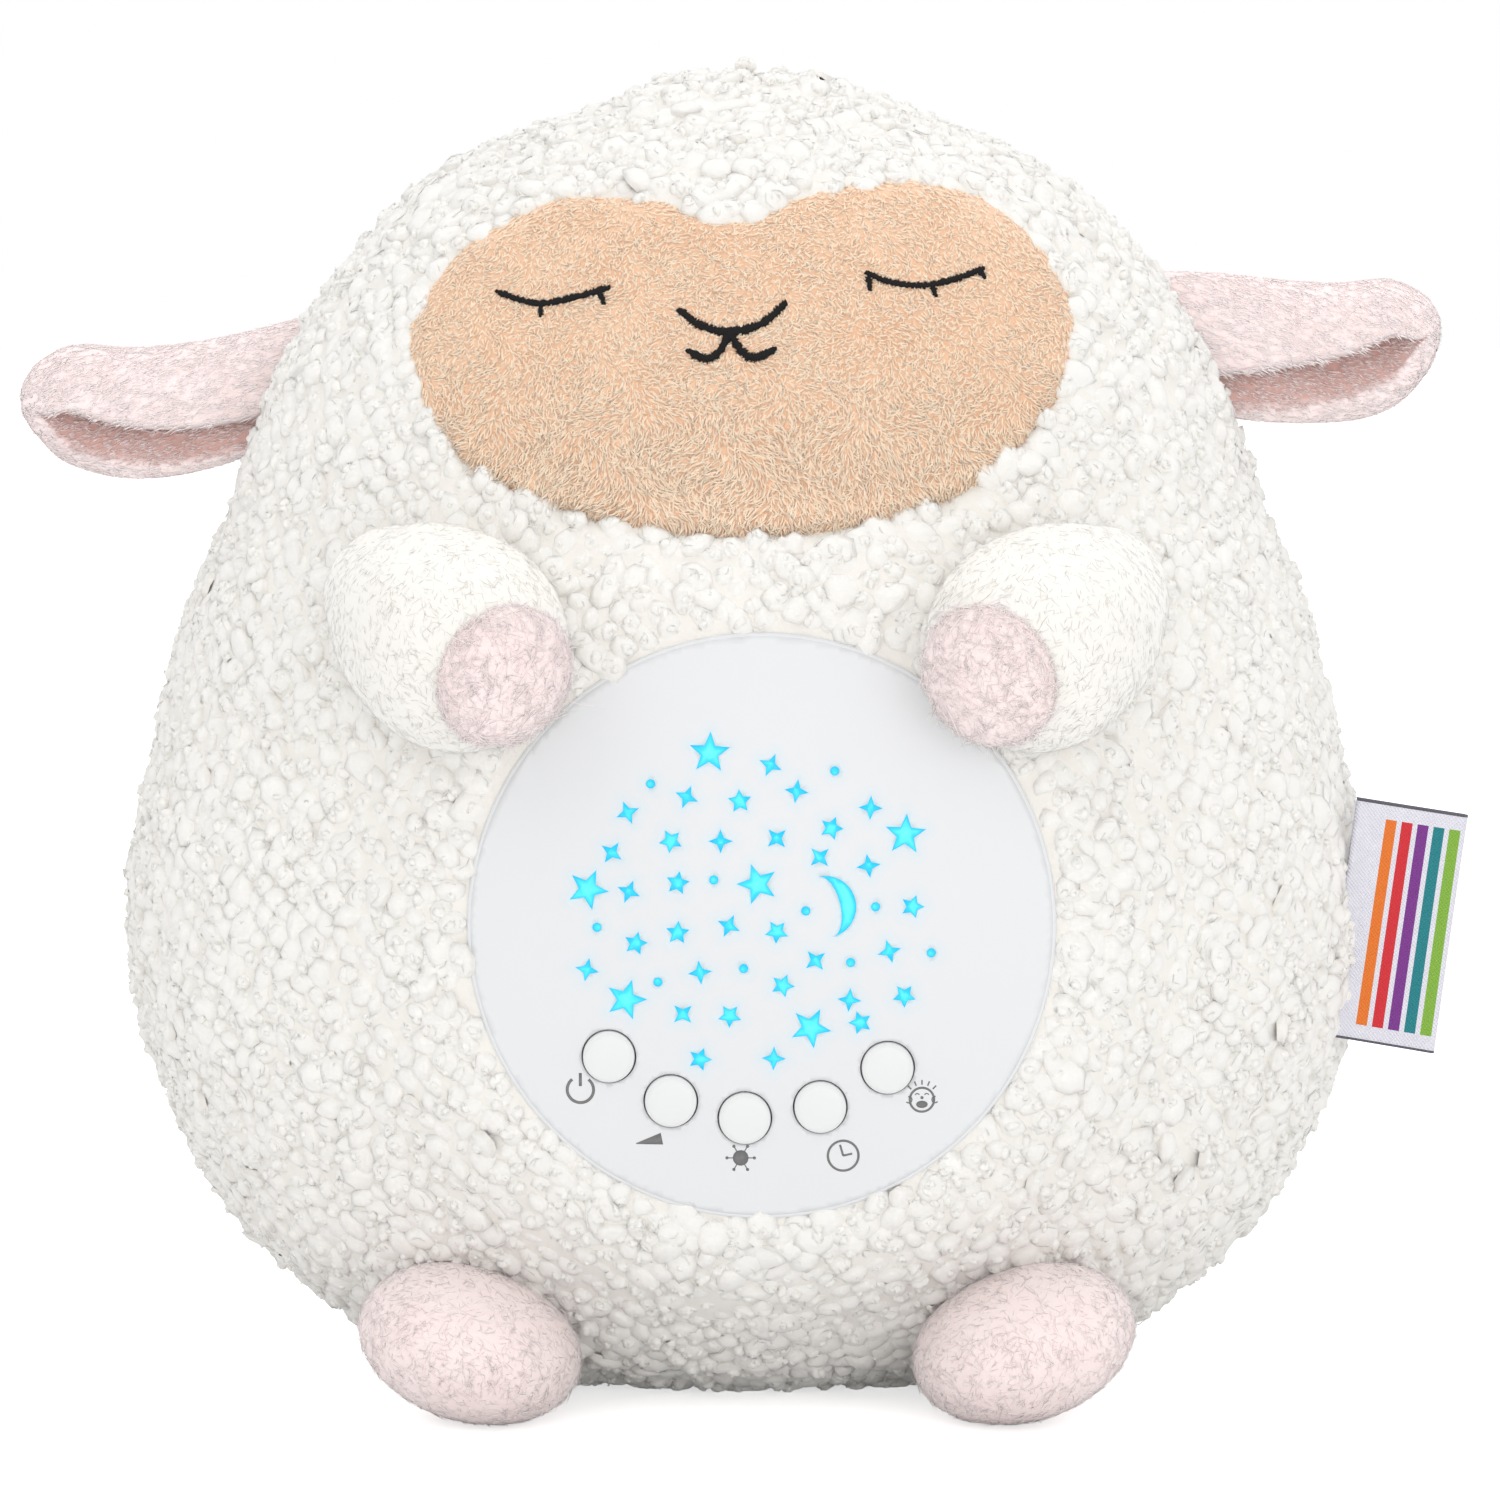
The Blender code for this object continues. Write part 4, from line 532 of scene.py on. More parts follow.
def closed_below(points, rows, columns):
    """A grid that goes round, with one more point in the middle of its last row, and the fan to it."""
    last, one = (rows - 1) * columns, np.arange(columns)
    fan = np.stack([np.full(columns, last + columns), last + (one + 1) % columns, last + one], axis=-1)
    return np.vstack([points, points[last:].mean(axis=0)]), fan


def rounded_edge(radius, height, edge, turns):
    """Profile rows round part of a circle: outwards from the radius and down from the height."""
    return [(radius + edge * math.sin(t), height - edge * (1 - math.cos(t))) for t in turns]


def tile_uv(count, local):
    """Each of many like shapes gets its own square of the unit square, and local places inside it."""
    side = math.ceil(math.sqrt(count))
    number = np.arange(count)
    corner = np.stack([number % side, number // side], axis=-1)[:, None]
    return ((corner + np.asarray(local)[None]) / side).reshape(-1, 2)


def domes(middles, first, second, normal, size, rng):
    """Curly tufts: domes of three rings whose outlines are warped by waves of two and three lobes.

    A point is middle + a sin(t) cos(u) first + b sin(t) sin(u) second + c cos(t) normal.
    """
    count = len(middles)
    tilts = np.radians([42, 80, 124])
    spokes = around(8)
    lobes = rng.uniform(0, math.tau, (2, count, 1, 1))
    t, u = tilts[None, :, None], spokes[None, None]
    warp = 1 + 0.11 * np.cos(2 * u + lobes[0] + t) + 0.09 * np.cos(3 * u + lobes[1] - t)
    warp = warp + rng.uniform(-0.07, 0.07, (count, 3, 8))
    a, b, c = (size[:, i, None, None] for i in range(3))
    flat = (a * warp * np.sin(t) * np.cos(u), b * warp * np.sin(t) * np.sin(u))
    rise = c * np.cos(t) * (0.9 + 0.1 * warp)
    first, second, normal = (v[:, None, None] for v in (first, second, normal))
    rings = middles[:, None, None] + flat[0][..., None] * first + flat[1][..., None] * second
    rings = rings + rise[..., None] * normal
    tops = middles[:, None] + (size[:, 2, None] * normal[:, 0, 0])[:, None]
    points = np.concatenate([tops, rings.reshape(count, 24, 3)], axis=1)
    one = np.arange(8)
    after = (one + 1) % 8
    fan = np.stack([np.zeros(8, dtype=int), 1 + one, 1 + after], axis=-1)
    quads = np.concatenate([
        np.stack([1 + 8 * k + one, 9 + 8 * k + one, 9 + 8 * k + after, 1 + 8 * k + after], axis=-1)
        for k in range(2)
    ])
    start = (np.arange(count) * 25)[:, None, None]
    faces = [(start + fan[None]).reshape(-1, 3), (start + quads[None]).reshape(-1, 4)]
    # Painted shade: a value that falls from a dome's top to its lowest ring, read as darker colour
    height = np.concatenate([[1], np.repeat(np.cos(tilts), 8)])
    reach = np.concatenate([[0], np.repeat([0.18, 0.34, 0.47], 8)])
    local = 0.5 + reach[:, None] * on_circle(np.concatenate([[0], np.tile(spokes, 3)]))
    return points.reshape(-1, 3), faces, np.tile(height, count), tile_uv(count, local)


def hairs(lines, up, width):
    """Tapered three-sided hairs through the given middle points, one row of points for each hair."""
    count, rows = lines.shape[0], lines.shape[1] - 1
    along = unit(np.gradient(lines, axis=1))
    side = unit(np.cross(up, along))
    over = np.cross(along, side)
    turns = around(3) + math.pi / 2
    spoke = np.cos(turns)[:, None] * side[:, :-1, None] + np.sin(turns)[:, None] * over[:, :-1, None]
    taper = (1 - 0.5 * (np.arange(rows) / rows) ** 2) / 2
    thick = np.broadcast_to(width, count)[:, None] * taper[None]
    rings = lines[:, :-1, None] + thick[..., None, None] * spoke
    points = np.concatenate([rings.reshape(count, -1, 3), lines[:, -1:]], axis=1)
    last = 3 * (rows - 1) + np.arange(3)
    fan = np.stack([last, np.roll(last, -1), np.full(3, 3 * rows)], axis=-1)
    start = (np.arange(count) * (3 * rows + 1))[:, None, None]
    quads = start + grid_faces(rows, 3, wrap=True)[None]
    faces = [quads.reshape(-1, 4), (start + fan[None]).reshape(-1, 3)]
    reach = np.concatenate([np.repeat(0.47 * (1 - np.arange(rows) / rows), 3), [0]])
    local = 0.5 + reach[:, None] * on_circle(np.concatenate([np.tile(turns, rows), [0]]))
    # Painted shade: a value that rises from the root to the tip, read as darker colour at the roots
    tip = np.concatenate([np.repeat(0.35 + 0.65 * np.sqrt(np.arange(rows) / rows), 3), [1]])
    return points.reshape(-1, 3), faces, np.tile(tip, count), tile_uv(count, local)


def strands(roots, along, up, length, width, lift, curl, rows):
    """Hairs that leave their roots and bend.

    The middle line is root + length (t along + lift (t - t squared / 2) up + curl t squared side).
    """
    count = len(roots)
    along = unit(along - up * np.sum(along * up, axis=-1, keepdims=True))
    side = np.cross(up, along)[:, None]
    t = (np.arange(rows + 1) / rows)[None, :, None]
    length, lift, curl = (np.broadcast_to(v, count)[:, None, None] for v in (length, lift, curl))
    lines = t * along[:, None] + lift * (t - t * t / 2) * up[:, None] + curl * t * t * side
    return hairs(roots[:, None] + length * lines, up[:, None], width)


def curls(middles, first, second, normal, size, count, rng):
    """Fibres that wind over the domes: paths of falling tilt t and running turn u, a little off them."""
    chosen = rng.integers(0, len(middles), count)
    share = np.linspace(0, 1, 3)[None]
    t = rng.uniform(0.1, 1.15, (count, 1)) + rng.uniform(-0.4, 0.6, (count, 1)) * share
    start, way = rng.uniform(0, math.tau, (count, 1)), rng.choice([-1, 1], (count, 1))
    u = start + way * rng.uniform(0.9, 2.0, (count, 1)) * share
    off = 1 + rng.uniform(0.0, 0.22, (count, 1)) * share
    first, second, normal, size = first[chosen], second[chosen], normal[chosen], size[chosen]
    lines = (
        (off * size[:, :1] * np.sin(t) * np.cos(u))[..., None] * first[:, None]
        + (off * size[:, 1:2] * np.sin(t) * np.sin(u))[..., None] * second[:, None]
        + (off * size[:, 2:] * np.cos(t))[..., None] * normal[:, None]
    )
    return hairs(middles[chosen][:, None] + lines, unit(lines), rng.uniform(0.00022, 0.00040, count))


def fleece_pile(tufts, knots, fibres, rng):
    """Big tufts, small knots that sit on them, and fibres wound over both."""
    middle, first, second, normal, size = tufts
    chosen = rng.integers(0, len(middle), knots)
    t, u = rng.uniform(0, 1.0, knots), rng.uniform(0, math.tau, knots)
    a, b, c = size[chosen].T
    away = (a * np.sin(t) * np.cos(u))[:, None] * first[chosen]
    away = away + (b * np.sin(t) * np.sin(u))[:, None] * second[chosen]
    away = away + (c * np.cos(t))[:, None] * normal[chosen]
    outward = unit(away)
    along = unit(np.cross(outward, first[chosen] + 0.3))
    radius, stretch = rng.uniform(0.0006, 0.0014, knots), rng.uniform(1.0, 1.35, knots)
    knot_size = np.stack([radius * stretch, radius / stretch, radius * 0.85], axis=-1)
    small = (middle[chosen] + 0.80 * away, along, np.cross(outward, along), outward, knot_size)
    both = [np.concatenate(pair) for pair in zip(tufts, small)]
    return domes(*tufts, rng), domes(*small, rng), curls(*both, fibres, rng)


def with_tone_and_shade(pile, change):
    """Hairs with a change to the value of each one."""
    points, faces, value, uv = pile
    return points, faces, value + np.repeat(change, len(value) // len(change)), uv


def with_base(base_points, base_faces, base_value, base_uv, *grown):
    """A base surface and what grows on it in one mesh: the base takes the lower tenth of the UV square."""
    shape = joined([(base_points, base_faces)] + [part[:2] for part in grown])
    value = np.concatenate([np.broadcast_to(base_value, len(base_points))] + [part[2] for part in grown])
    high = 0.89 / len(grown)
    places = [np.asarray(base_uv) * (1, 0.1)]
    places += [part[3] * (1, high) + (0, 0.11 + high * number) for number, part in enumerate(grown)]
    return *shape, value, np.vstack(places)


def add_plush(name, body, finish, dressed, node, slot, settle=None):
    """A base with its pile as a mesh object; settle is a function that presses its points on others."""
    points, faces, value, uv = dressed
    points = settle(points) if settle else points
    return add_piece(name, body, finish, points, faces, [node], slot, {"tip": value}, uv)


def grid_uv(rows, columns):
    """Even places over the unit square for a grid of points."""
    v, u = np.mgrid[0:1:rows * 1j, 0:1:columns * 1j]
    return np.stack([u, v], axis=-1).reshape(-1, 2)


# Shader helpers


class Shade:
    """A shader socket that adds Math nodes when it meets a number or another socket."""

    def __init__(self, tree, socket=None):
        self.tree, self.socket = tree, socket

    def node(self, kind, settings, sockets, output=0):
        """Adds a node: its settings first, then a value or a link for each socket; gives one output."""
        made = self.tree.nodes.new("ShaderNode" + kind)
        for key, value in settings.items():
            if key == "stops":
                ramp = made.color_ramp.elements
                while len(ramp) < len(value):
                    ramp.new(0.5)
                for element, (place, colour) in zip(ramp, value):
                    element.position, element.color = place, (*colour, 1)
            else:
                setattr(made, key, value)
        for key, value in sockets.items():
            if isinstance(value, Shade):
                self.tree.links.new(value.socket, made.inputs[key])
            else:
                made.inputs[key].default_value = value
        return Shade(self.tree, made.outputs[output])

    def maths(self, operation, first, second=0.0):
        """One Math node."""
        return self.node("Math", {"operation": operation}, {0: first, 1: second})

    def __add__(self, other):
        return self.maths("ADD", self, other)

    def __radd__(self, other):
        return self.maths("ADD", other, self)

    def __sub__(self, other):
        return self.maths("SUBTRACT", self, other)

    def __rsub__(self, other):
        return self.maths("SUBTRACT", other, self)

    def __mul__(self, other):
        return self.maths("MULTIPLY", self, other)

    def __rmul__(self, other):
        return self.maths("MULTIPLY", other, self)

    def other(self, output):
        """Another output of the same node."""
        return Shade(self.tree, self.socket.node.outputs[output])

    def mix(self, low, high):
        """The colour low where this is 0 and high where it is 1."""
        ends = [end if isinstance(end, Shade) else (*end, 1) for end in (low, high)]
        return self.node("Mix", {"data_type": "RGBA"}, {0: self, 6: ends[0], 7: ends[1]}, 2)

    def ramp(self, *stops):
        """A colour ramp over this value."""
        return self.node("ValToRGB", {"stops": stops}, {0: self})


class Finish:
    """A named material with its Principled shader, and the patterns that its surface reads."""

    def __init__(self, name, colour, roughness, **sockets):
        self.material = bpy.data.materials.new(name)
        self.material.use_nodes = True
        tree = self.material.node_tree
        self.shader = tree.nodes["Principled BSDF"]
        self.shade = Shade(tree)
        self.place = self.shade.node("TexCoord", {}, {}, 3)
        self.set("Roughness", roughness)
        self.set("Base Color", colour)
        for key, value in sockets.items():
            self.set(key.replace("_", " ").title().replace("Ior", "IOR"), value)

    def set(self, key, value):
        """A value or a link for one socket of the shader."""
        if isinstance(value, Shade):
            self.shade.tree.links.new(value.socket, self.shader.inputs[key])
        elif isinstance(value, tuple):
            self.shader.inputs[key].default_value = (*value, 1)
        else:
            self.shader.inputs[key].default_value = value

    def noise(self, scale, detail=2.0, roughness=0.5, distortion=0.0):
        """Noise over Object coordinates, whose scale is in repeats a metre."""
        sockets = {"Vector": self.place, "Scale": scale, "Detail": detail, "Roughness": roughness}
        return self.shade.node("TexNoise", {}, sockets | {"Distortion": distortion})

    def value(self, name):
        """A value kept on the mesh's points."""
        return self.shade.node("Attribute", {"attribute_name": name}, {}, 2)

    def bump(self, height, distance, strength=1.0):
        """Raises the surface by a height pattern, in metres."""
        sockets = {"Height": height, "Distance": distance, "Strength": strength}
        self.set("Normal", self.shade.node("Bump", {}, sockets))


def mottled_finish(name, roughness, low, high, pattern, bump, relief=None, **sockets):
    """A colour that drifts between two by a noise pattern, raised by the same pattern or by the relief."""
    made = Finish(name, high, roughness, **sockets)
    tone = made.noise(*pattern)
    made.set("Base Color", tone.mix(low, high))
    made.bump(made.noise(*relief) if relief else tone, *bump)
    return made


def linear(colour):
    """An sRGB colour of 0 to 255 as linear shares."""
    shares = np.array(colour) / 255
    shares = np.where(shares <= 0.04045, shares / 12.92, ((shares + 0.055) / 1.055) ** 2.4)
    return tuple(float(share) for share in shares)


def fleece_finish(settings):
    """Cream curls: warm grey in the crevices, cream on the tips, with fine fibre lines over them."""
    made = Finish("curly_fleece", tuple(settings.tip_colour), 0.95, sheen_weight=0.6, sheen_roughness=0.6)
    fibre = made.shade.maths("ABSOLUTE", made.noise(520, 4, 0.65, 3.5) - 0.5) * 3.4
    tone = made.noise(60, 2)
    # Painted shade: the tufts' height value darkens the colour towards their feet
    depth = made.value("tip")
    weight = depth * 0.7 + fibre * 0.3 + tone * 0.12 + 0.05
    colours = settings.crevice_shade_colour, settings.flank_shade_colour, settings.tip_colour
    made.set("Base Color", weight.ramp(*((at, tuple(colour)) for at, colour in zip((0, 0.35, 1), colours))))
    made.set("Roughness", fibre * 0.1 + 0.87)
    made.bump(fibre + made.noise(1700, 3, 0.6, 2), 0.0002, 0.6)
    return made.material


def pile_finish(name, root_shade, mid, tip, scale=1500):
    """Short pile: deep colour at the roots, lighter tips, and soft uneven tone over the piece."""
    made = Finish(name, linear(tip), 0.92, sheen_weight=0.5, sheen_roughness=0.6)
    fibre = made.noise(scale, 2, 0.6, 1)
    tone = made.noise(90, 2)
    weight = made.value("tip") * 0.7 + fibre * 0.3 + tone * 0.2 - 0.05
    made.set("Base Color", weight.ramp((0, linear(root_shade)), (0.45, linear(mid)), (1, linear(tip))))
    made.set("Roughness", fibre * 0.12 + 0.84)
    made.bump(fibre, 0.00005, 0.5)
    return made.material


def plastic_finish(name, colour, roughness, grain=0.12):
    """Moulded plastic: a very fine spark-eroded grain, and a tone that drifts a little."""
    full = linear(colour)
    darker = tuple(0.97 * share for share in full)
    made = mottled_finish(
        name, roughness, darker, full, (35, 2), (0.00003, grain), (5200, 2, 0.6), specular_ior_level=0.4,
    )
    made.set("Roughness", made.noise(140, 3) * 0.1 + (roughness - 0.05))
    return made.material


# Settings


def colour_property(name, description, default):
    """A linear colour setting."""
    return bpy.props.FloatVectorProperty(
        name=name, description=description, default=default, size=3, min=0, max=1, subtype="COLOR",
    )


def length_property(name, description, default):
    """A length setting, in metres."""
    return bpy.props.FloatProperty(
        name=name, description=description, default=default, min=0, precision=5, unit="LENGTH",
    )


def count_property(name, description, default):
    """A whole number setting."""
    return bpy.props.IntProperty(name=name, description=description, default=default, min=1)


class LAMB_PG_fleece(bpy.types.PropertyGroup):
    """The curly fleece of the body and the flap."""

    tuft_count: count_property("Tufts", "Number of curly tufts over the whole body", 8400)
    knot_count: count_property("Knots", "Number of small knots that sit on the tufts", 10600)
    fibre_count: count_property("Fibres", "Number of fibres wound over the tufts", 26000)
    tuft_radius: length_property("Tuft radius", "Half the width of a middling tuft", 0.0032)
    tuft_height: length_property("Tuft height", "Rise of a tuft above its own middle", 0.0018)
    tuft_proud: length_property("Tuft reach", "How far a tuft stands over the sewn pattern's surface", 0.0005)
    tip_colour: colour_property("Tips", "Colour of the curls", (0.955, 0.94, 0.905))
    # Painted shade: the flanks and the crevices take darker colours than the tips, where shade falls between
    # the curls
    flank_shade_colour: colour_property("Flanks", "Colour half way down a curl", (0.945, 0.925, 0.885))
    crevice_shade_colour: colour_property("Crevices", "Colour between the curls", (0.93, 0.90, 0.845))


class LAMB_PG_plush(bpy.types.PropertyGroup):
    """The short pile of the face, ears, arms and feet."""

    face_strands: count_property("Face strands", "Number of strands on the face patch", 15500)
    face_strand_length: length_property("Face strand", "Length of a strand on the face", 0.0022)
    ear_strands: count_property("Ear strands", "Number of strands on each ear", 8000)
    arm_strands: count_property("Arm strands", "Number of strands on each arm", 7500)
    paw_strands: count_property("Paw strands", "Number of strands on each paw end", 3000)
    foot_strands: count_property("Foot strands", "Number of strands on each foot", 7500)
    strand_width: length_property("Strand width", "Width of a strand at its root", 0.00042)


class LAMB_PG_panel(bpy.types.PropertyGroup):
    """The star-light panel and its buttons."""

    cell: length_property("Cell", "Size of the dome's mesh cells", 0.0010)
    halo: length_property("Halo", "How far a window's light spreads in the plastic", 0.0011)
    gap: length_property("Button gap", "Gap between a button and its hole", 0.0003)
    window_colour: colour_property("Windows", "Colour of the lit windows", (0.013, 0.60, 0.90))


class LAMB_PG_stage(bpy.types.PropertyGroup):
    """Camera and light."""

    distance: length_property("Camera distance", "From the camera to the lamb", 1.5)
    elevation: bpy.props.FloatProperty(
        name="Elevation", description="Camera angle above the horizon", subtype="ANGLE",
        default=math.radians(5),
    )
    lens: bpy.props.FloatProperty(
        name="Lens", description="Focal length of the camera", default=180, min=1, subtype="DISTANCE_CAMERA",
    )


# Pieces


def side_fullness(x, z):
    """How much fuller the pile stands at the sides: more low down, less by the head."""
    half_width = BODY_HALF_WIDTH * np.maximum(width_share(z), 0.05)
    return np.interp(z, FULLNESS[:, 0], FULLNESS[:, 1]) * smoothstep(0.35, 0.9, np.abs(x) / half_width)


def spread_tufts(settings):
    """Places, frames and sizes of every tuft of the fleece, the same for the coat and for the flap."""
    rng = np.random.default_rng(11)
    turn, row = spread_over_body(settings.tuft_count, rng, 0.38)
    point, across, downward, normal = body_frames(turn, row)
    count = len(turn)
    turned = rng.uniform(0, math.tau, (count, 1))
    first = across * np.cos(turned) + downward * np.sin(turned)
    lean = unit(normal + 0.22 * rng.normal(size=(count, 3)))
    first = unit(first - lean * np.sum(first * lean, axis=-1, keepdims=True))
    second = np.cross(lean, first)
    stretch = rng.uniform(1.0, 1.16, count)
    scale = rng.uniform(0.75, 1.3, count)
    size = np.stack([
        settings.tuft_radius * scale * stretch, settings.tuft_radius * scale / stretch,
        settings.tuft_height * rng.uniform(0.85, 1.15, count),
    ], axis=-1)
    proud = settings.tuft_proud + rng.uniform(-0.0009, 0.0003, count)
    proud = proud + side_fullness(point[:, 0], point[:, 2])
    middle = point + normal * (proud - size[:, 2])[:, None]
    return point, middle, first, second, lean, size


def coat_inset(x, y, z):
    """How deep the backing lies under the sewn surface: deeper under the face patch and the flap."""
    under_face = np.where(y < 0, 1 - smoothstep(-0.004, 0.001, face_margin(x, z)), 0)
    under_flap = np.where(y > 0, 1 - smoothstep(-0.003, 0.0006, flap_margin(x, z)), 0)
    return BACKING_INSET + BACKING_SINK * np.maximum(under_face, under_flap) - side_fullness(x, z)


def clear_of_others(point):
    """Whether each place is off the panel, the face patch, the flap and the tag."""
    x, y, z = point.T
    face_clear = np.where(z > FACE_Z, FACE_TOP_CLEAR, -FACE_LOW_OVERLAP)
    clear = np.where(y < 0, np.hypot(x - PANEL_X, z - PANEL_Z) - PANEL_RADIUS, 1) > PANEL_CLEAR
    clear &= np.where(y < 0, face_margin(x, z), 1) > face_clear
    clear &= np.where(y > 0, flap_margin(x, z), 1) > FLAP_CLEAR
    beyond_tag = (np.abs(z - TAG_Z) > TAG_HEIGHT / 2 + TAG_END_CLEAR) | (np.abs(y - TAG_Y) > TAG_FACE_CLEAR)
    return clear & ((x < 0) | beyond_tag)


def coat_backing(rows, columns):
    """The surface under the tufts over (turn, row), in even steps down, without faces at the two openings."""
    step = np.diff(BODY_CURVE, axis=0) * (BODY_HEIGHT, 0.11)
    length = np.concatenate([[0], np.cumsum(np.hypot(*step.T))])
    spots = np.interp(np.linspace(0, length[-1], rows), length, np.arange(len(length)))
    turn, row = np.meshgrid(around(columns), np.maximum(spots, 0.001))
    backing = body_point(turn, row, coat_inset(*np.moveaxis(body_point(turn, row, 0), -1, 0)))
    backing[..., 2] = np.maximum(backing[..., 2], 0.0004)
    base = backing.reshape(-1, 3)
    faces = grid_faces(rows, columns, wrap=True)[:, ::-1]
    x, y, z = base[faces].mean(axis=1).T
    in_module = (y < 0) & (np.hypot(x - PANEL_X, z - PANEL_Z) < MODULE_OPENING_RADIUS)
    in_back = (y > 0) & (flap_margin(x, z) < -FLAP_OPENING_MARGIN)
    base, bottom = closed_below(base, rows, columns)
    return base, [faces[~(in_module | in_back)], bottom]


def make_coat():
    """The body's fleece: a backing that follows the body's ellipses, and tufts spread evenly over it."""
    settings = bpy.context.scene.lamb_fleece
    base, faces = coat_backing(*COAT_GRID)
    point, *tufts = spread_tufts(settings)
    clear = clear_of_others(point)
    tufts = [part[clear] for part in tufts]
    pile = fleece_pile(tufts, settings.knot_count, settings.fibre_count, np.random.default_rng(12))
    base_uv = np.vstack([grid_uv(*COAT_GRID), [[0.5, 0.5]]])
    # Painted shade: the backing between the tufts takes the crevice colour
    points, faces, value, uv = with_base(base, faces, CREVICE_SHADE_VALUE, base_uv, *pile)
    points[:, 2] = np.maximum(points[:, 2], FLOOR_CLEAR)
    coat = add_piece(
        "fleece_coat", "body", fleece_finish(settings), points, faces,
        ["fleece_cover"], "fleece", {"tip": np.maximum(value, CREVICE_SHADE_VALUE)}, uv,
    )


def make_flap():
    """The back flap: a thin slab on the body's back, with the tufts that fall inside its outline."""
    settings = bpy.context.scene.lamb_fleece
    rows, columns = 30, 120
    angle, middle_z = around(columns)[None], (FLAP_LOW_Z + FLAP_HIGH_Z) / 2
    reach = np.linspace(0, 0.06, 600)
    out = flap_margin(reach[:, None] * np.cos(angle), middle_z + reach[:, None] * np.sin(angle))
    radius = np.linspace(0, 1, rows)[:, None] * reach[np.argmax(out > 0, axis=0)][None]
    x, z = radius * np.cos(angle), middle_z + radius * np.sin(angle)
    front = np.stack([x, back_y(x, z, FLAP_FRONT_INSET), z], axis=-1)
    back = np.stack([x, back_y(x, z, FLAP_BACK_INSET), z], axis=-1)[::-1]
    slab = np.concatenate([front, back]).reshape(-1, 3)
    point, centre, first, second, lean, size = spread_tufts(settings)
    keep = (point[:, 1] > 0) & (flap_margin(point[:, 0], point[:, 2]) < -FLAP_CLEAR)
    tufts = [part[keep] for part in (centre + lean * 0.0002, first, second, lean, size)]
    knots, fibres = settings.knot_count // 15, settings.fibre_count // 15
    pile = fleece_pile(tufts, knots, fibres, np.random.default_rng(13))
    faces = [grid_faces(2 * rows, columns, wrap=True)]
    # Painted shade: the backing between the tufts takes the crevice colour
    points, faces, value, uv = with_base(slab, faces, CREVICE_SHADE_VALUE, grid_uv(2 * rows, columns), *pile)
    points[:, 1] = np.maximum(points[:, 1], back_y(points[:, 0], points[:, 2], FLAP_BACK_INSET))
    flap = add_piece(
        "fleece_flap", "flap", bpy.data.materials["curly_fleece"], points, faces,
        ["back_flap"], "fleece", {"tip": value}, uv,
    )


def make_flap_bed():
    """The plain cloth under the flap: a grid on the body's back, with lines on the case's four edges."""
    finish = mottled_finish(
        "backing_cloth", 0.9, linear((205, 200, 190)), linear((236, 232, 224)), (1800, 2, 0.6), (0.0002, 0.6),
    )
    gap, beyond = 0.0003, 0.001
    hole_x, low, high = CASE_HALF_WIDTH + gap, CASE_LOW_Z - gap, CASE_HIGH_Z + gap
    wide, bottom, top = FLAP_HALF_WIDTH + beyond, FLAP_LOW_Z - beyond, FLAP_HIGH_Z + beyond
    across = np.concatenate([
        np.linspace(-wide, -hole_x, 8), np.linspace(-hole_x, hole_x, 30)[1:],
        np.linspace(hole_x, wide, 8)[1:],
    ])
    up = np.concatenate([
        np.linspace(bottom, low, 10), np.linspace(low, high, 30)[1:], np.linspace(high, top, 8)[1:],
    ])
    z, x = np.meshgrid(up, across, indexing="ij")
    points = np.stack([x, back_y(x, z, FLAP_BED_INSET), z], axis=-1).reshape(-1, 3)
    faces = grid_faces(len(up), len(across), flip=True)
    x, _, z = points[faces].mean(axis=1).T
    in_case = (np.abs(x) < hole_x) & (z > low) & (z < high)
    outside = flap_margin(x, z) > 0.0006
    points, faces = thickened(points, faces[~(in_case | outside)], np.array((0, -0.0008, 0)))
    add_piece("flap_bed", "body", finish.material, points, faces, slot="fleece")


def make_tapes():
    """The hook and loop tapes: flat strips on the body's back, with fine loops or hooks all over them."""
    finish = mottled_finish(
        "closure_tape", 0.85, linear((196, 194, 188)), linear((240, 239, 235)), (2400, 3, 0.7, 1),
        (0.0003, 0.8),
    )
    rng = np.random.default_rng(31)
    rows, columns, count = 14, 40, 900
    middle, half = (TAPE_LOW_Z + TAPE_HIGH_Z) / 2, (TAPE_HIGH_Z - TAPE_LOW_Z) / 2
    u, v = np.meshgrid(np.linspace(-1, 1, columns), np.linspace(-1, 1, rows))
    x, z = TAPE_HALF_WIDTH * u, middle + half * v
    for name, node, body, inset, root_inset, way in (
        ("hook_strip", "hook_tape", "flap", 0.0023, 0.0023 + TAPE_THICKNESS, -1),
        ("loop_strip", "loop_tape", "body", FLAP_BED_INSET, FLAP_BED_INSET, 1),
    ):
        top = np.stack([x, back_y(x, z, inset), z], axis=-1).reshape(-1, 3)
        slab = thickened(top, grid_faces(rows, columns, flip=True), np.array((0, -TAPE_THICKNESS, 0)))
        root_x = rng.uniform(-0.97, 0.97, count) * TAPE_HALF_WIDTH
        root_z = middle + rng.uniform(-0.93, 0.93, count) * half
        roots = np.stack([root_x, back_y(root_x, root_z, root_inset), root_z], axis=-1)
        turn = rng.uniform(0, math.tau, count)
        along = np.stack([np.cos(turn), np.zeros(count), np.sin(turn)], axis=-1)
        up = np.tile((0.0, float(way), 0.0), (count, 1))
        loops = strands(roots, along, up, 0.0006, 0.00016, 0.5, rng.uniform(-0.8, 0.8, count), 3)
        add_piece(name, body, finish.material, *joined([slab, loops[:2]]), [node], "tape")


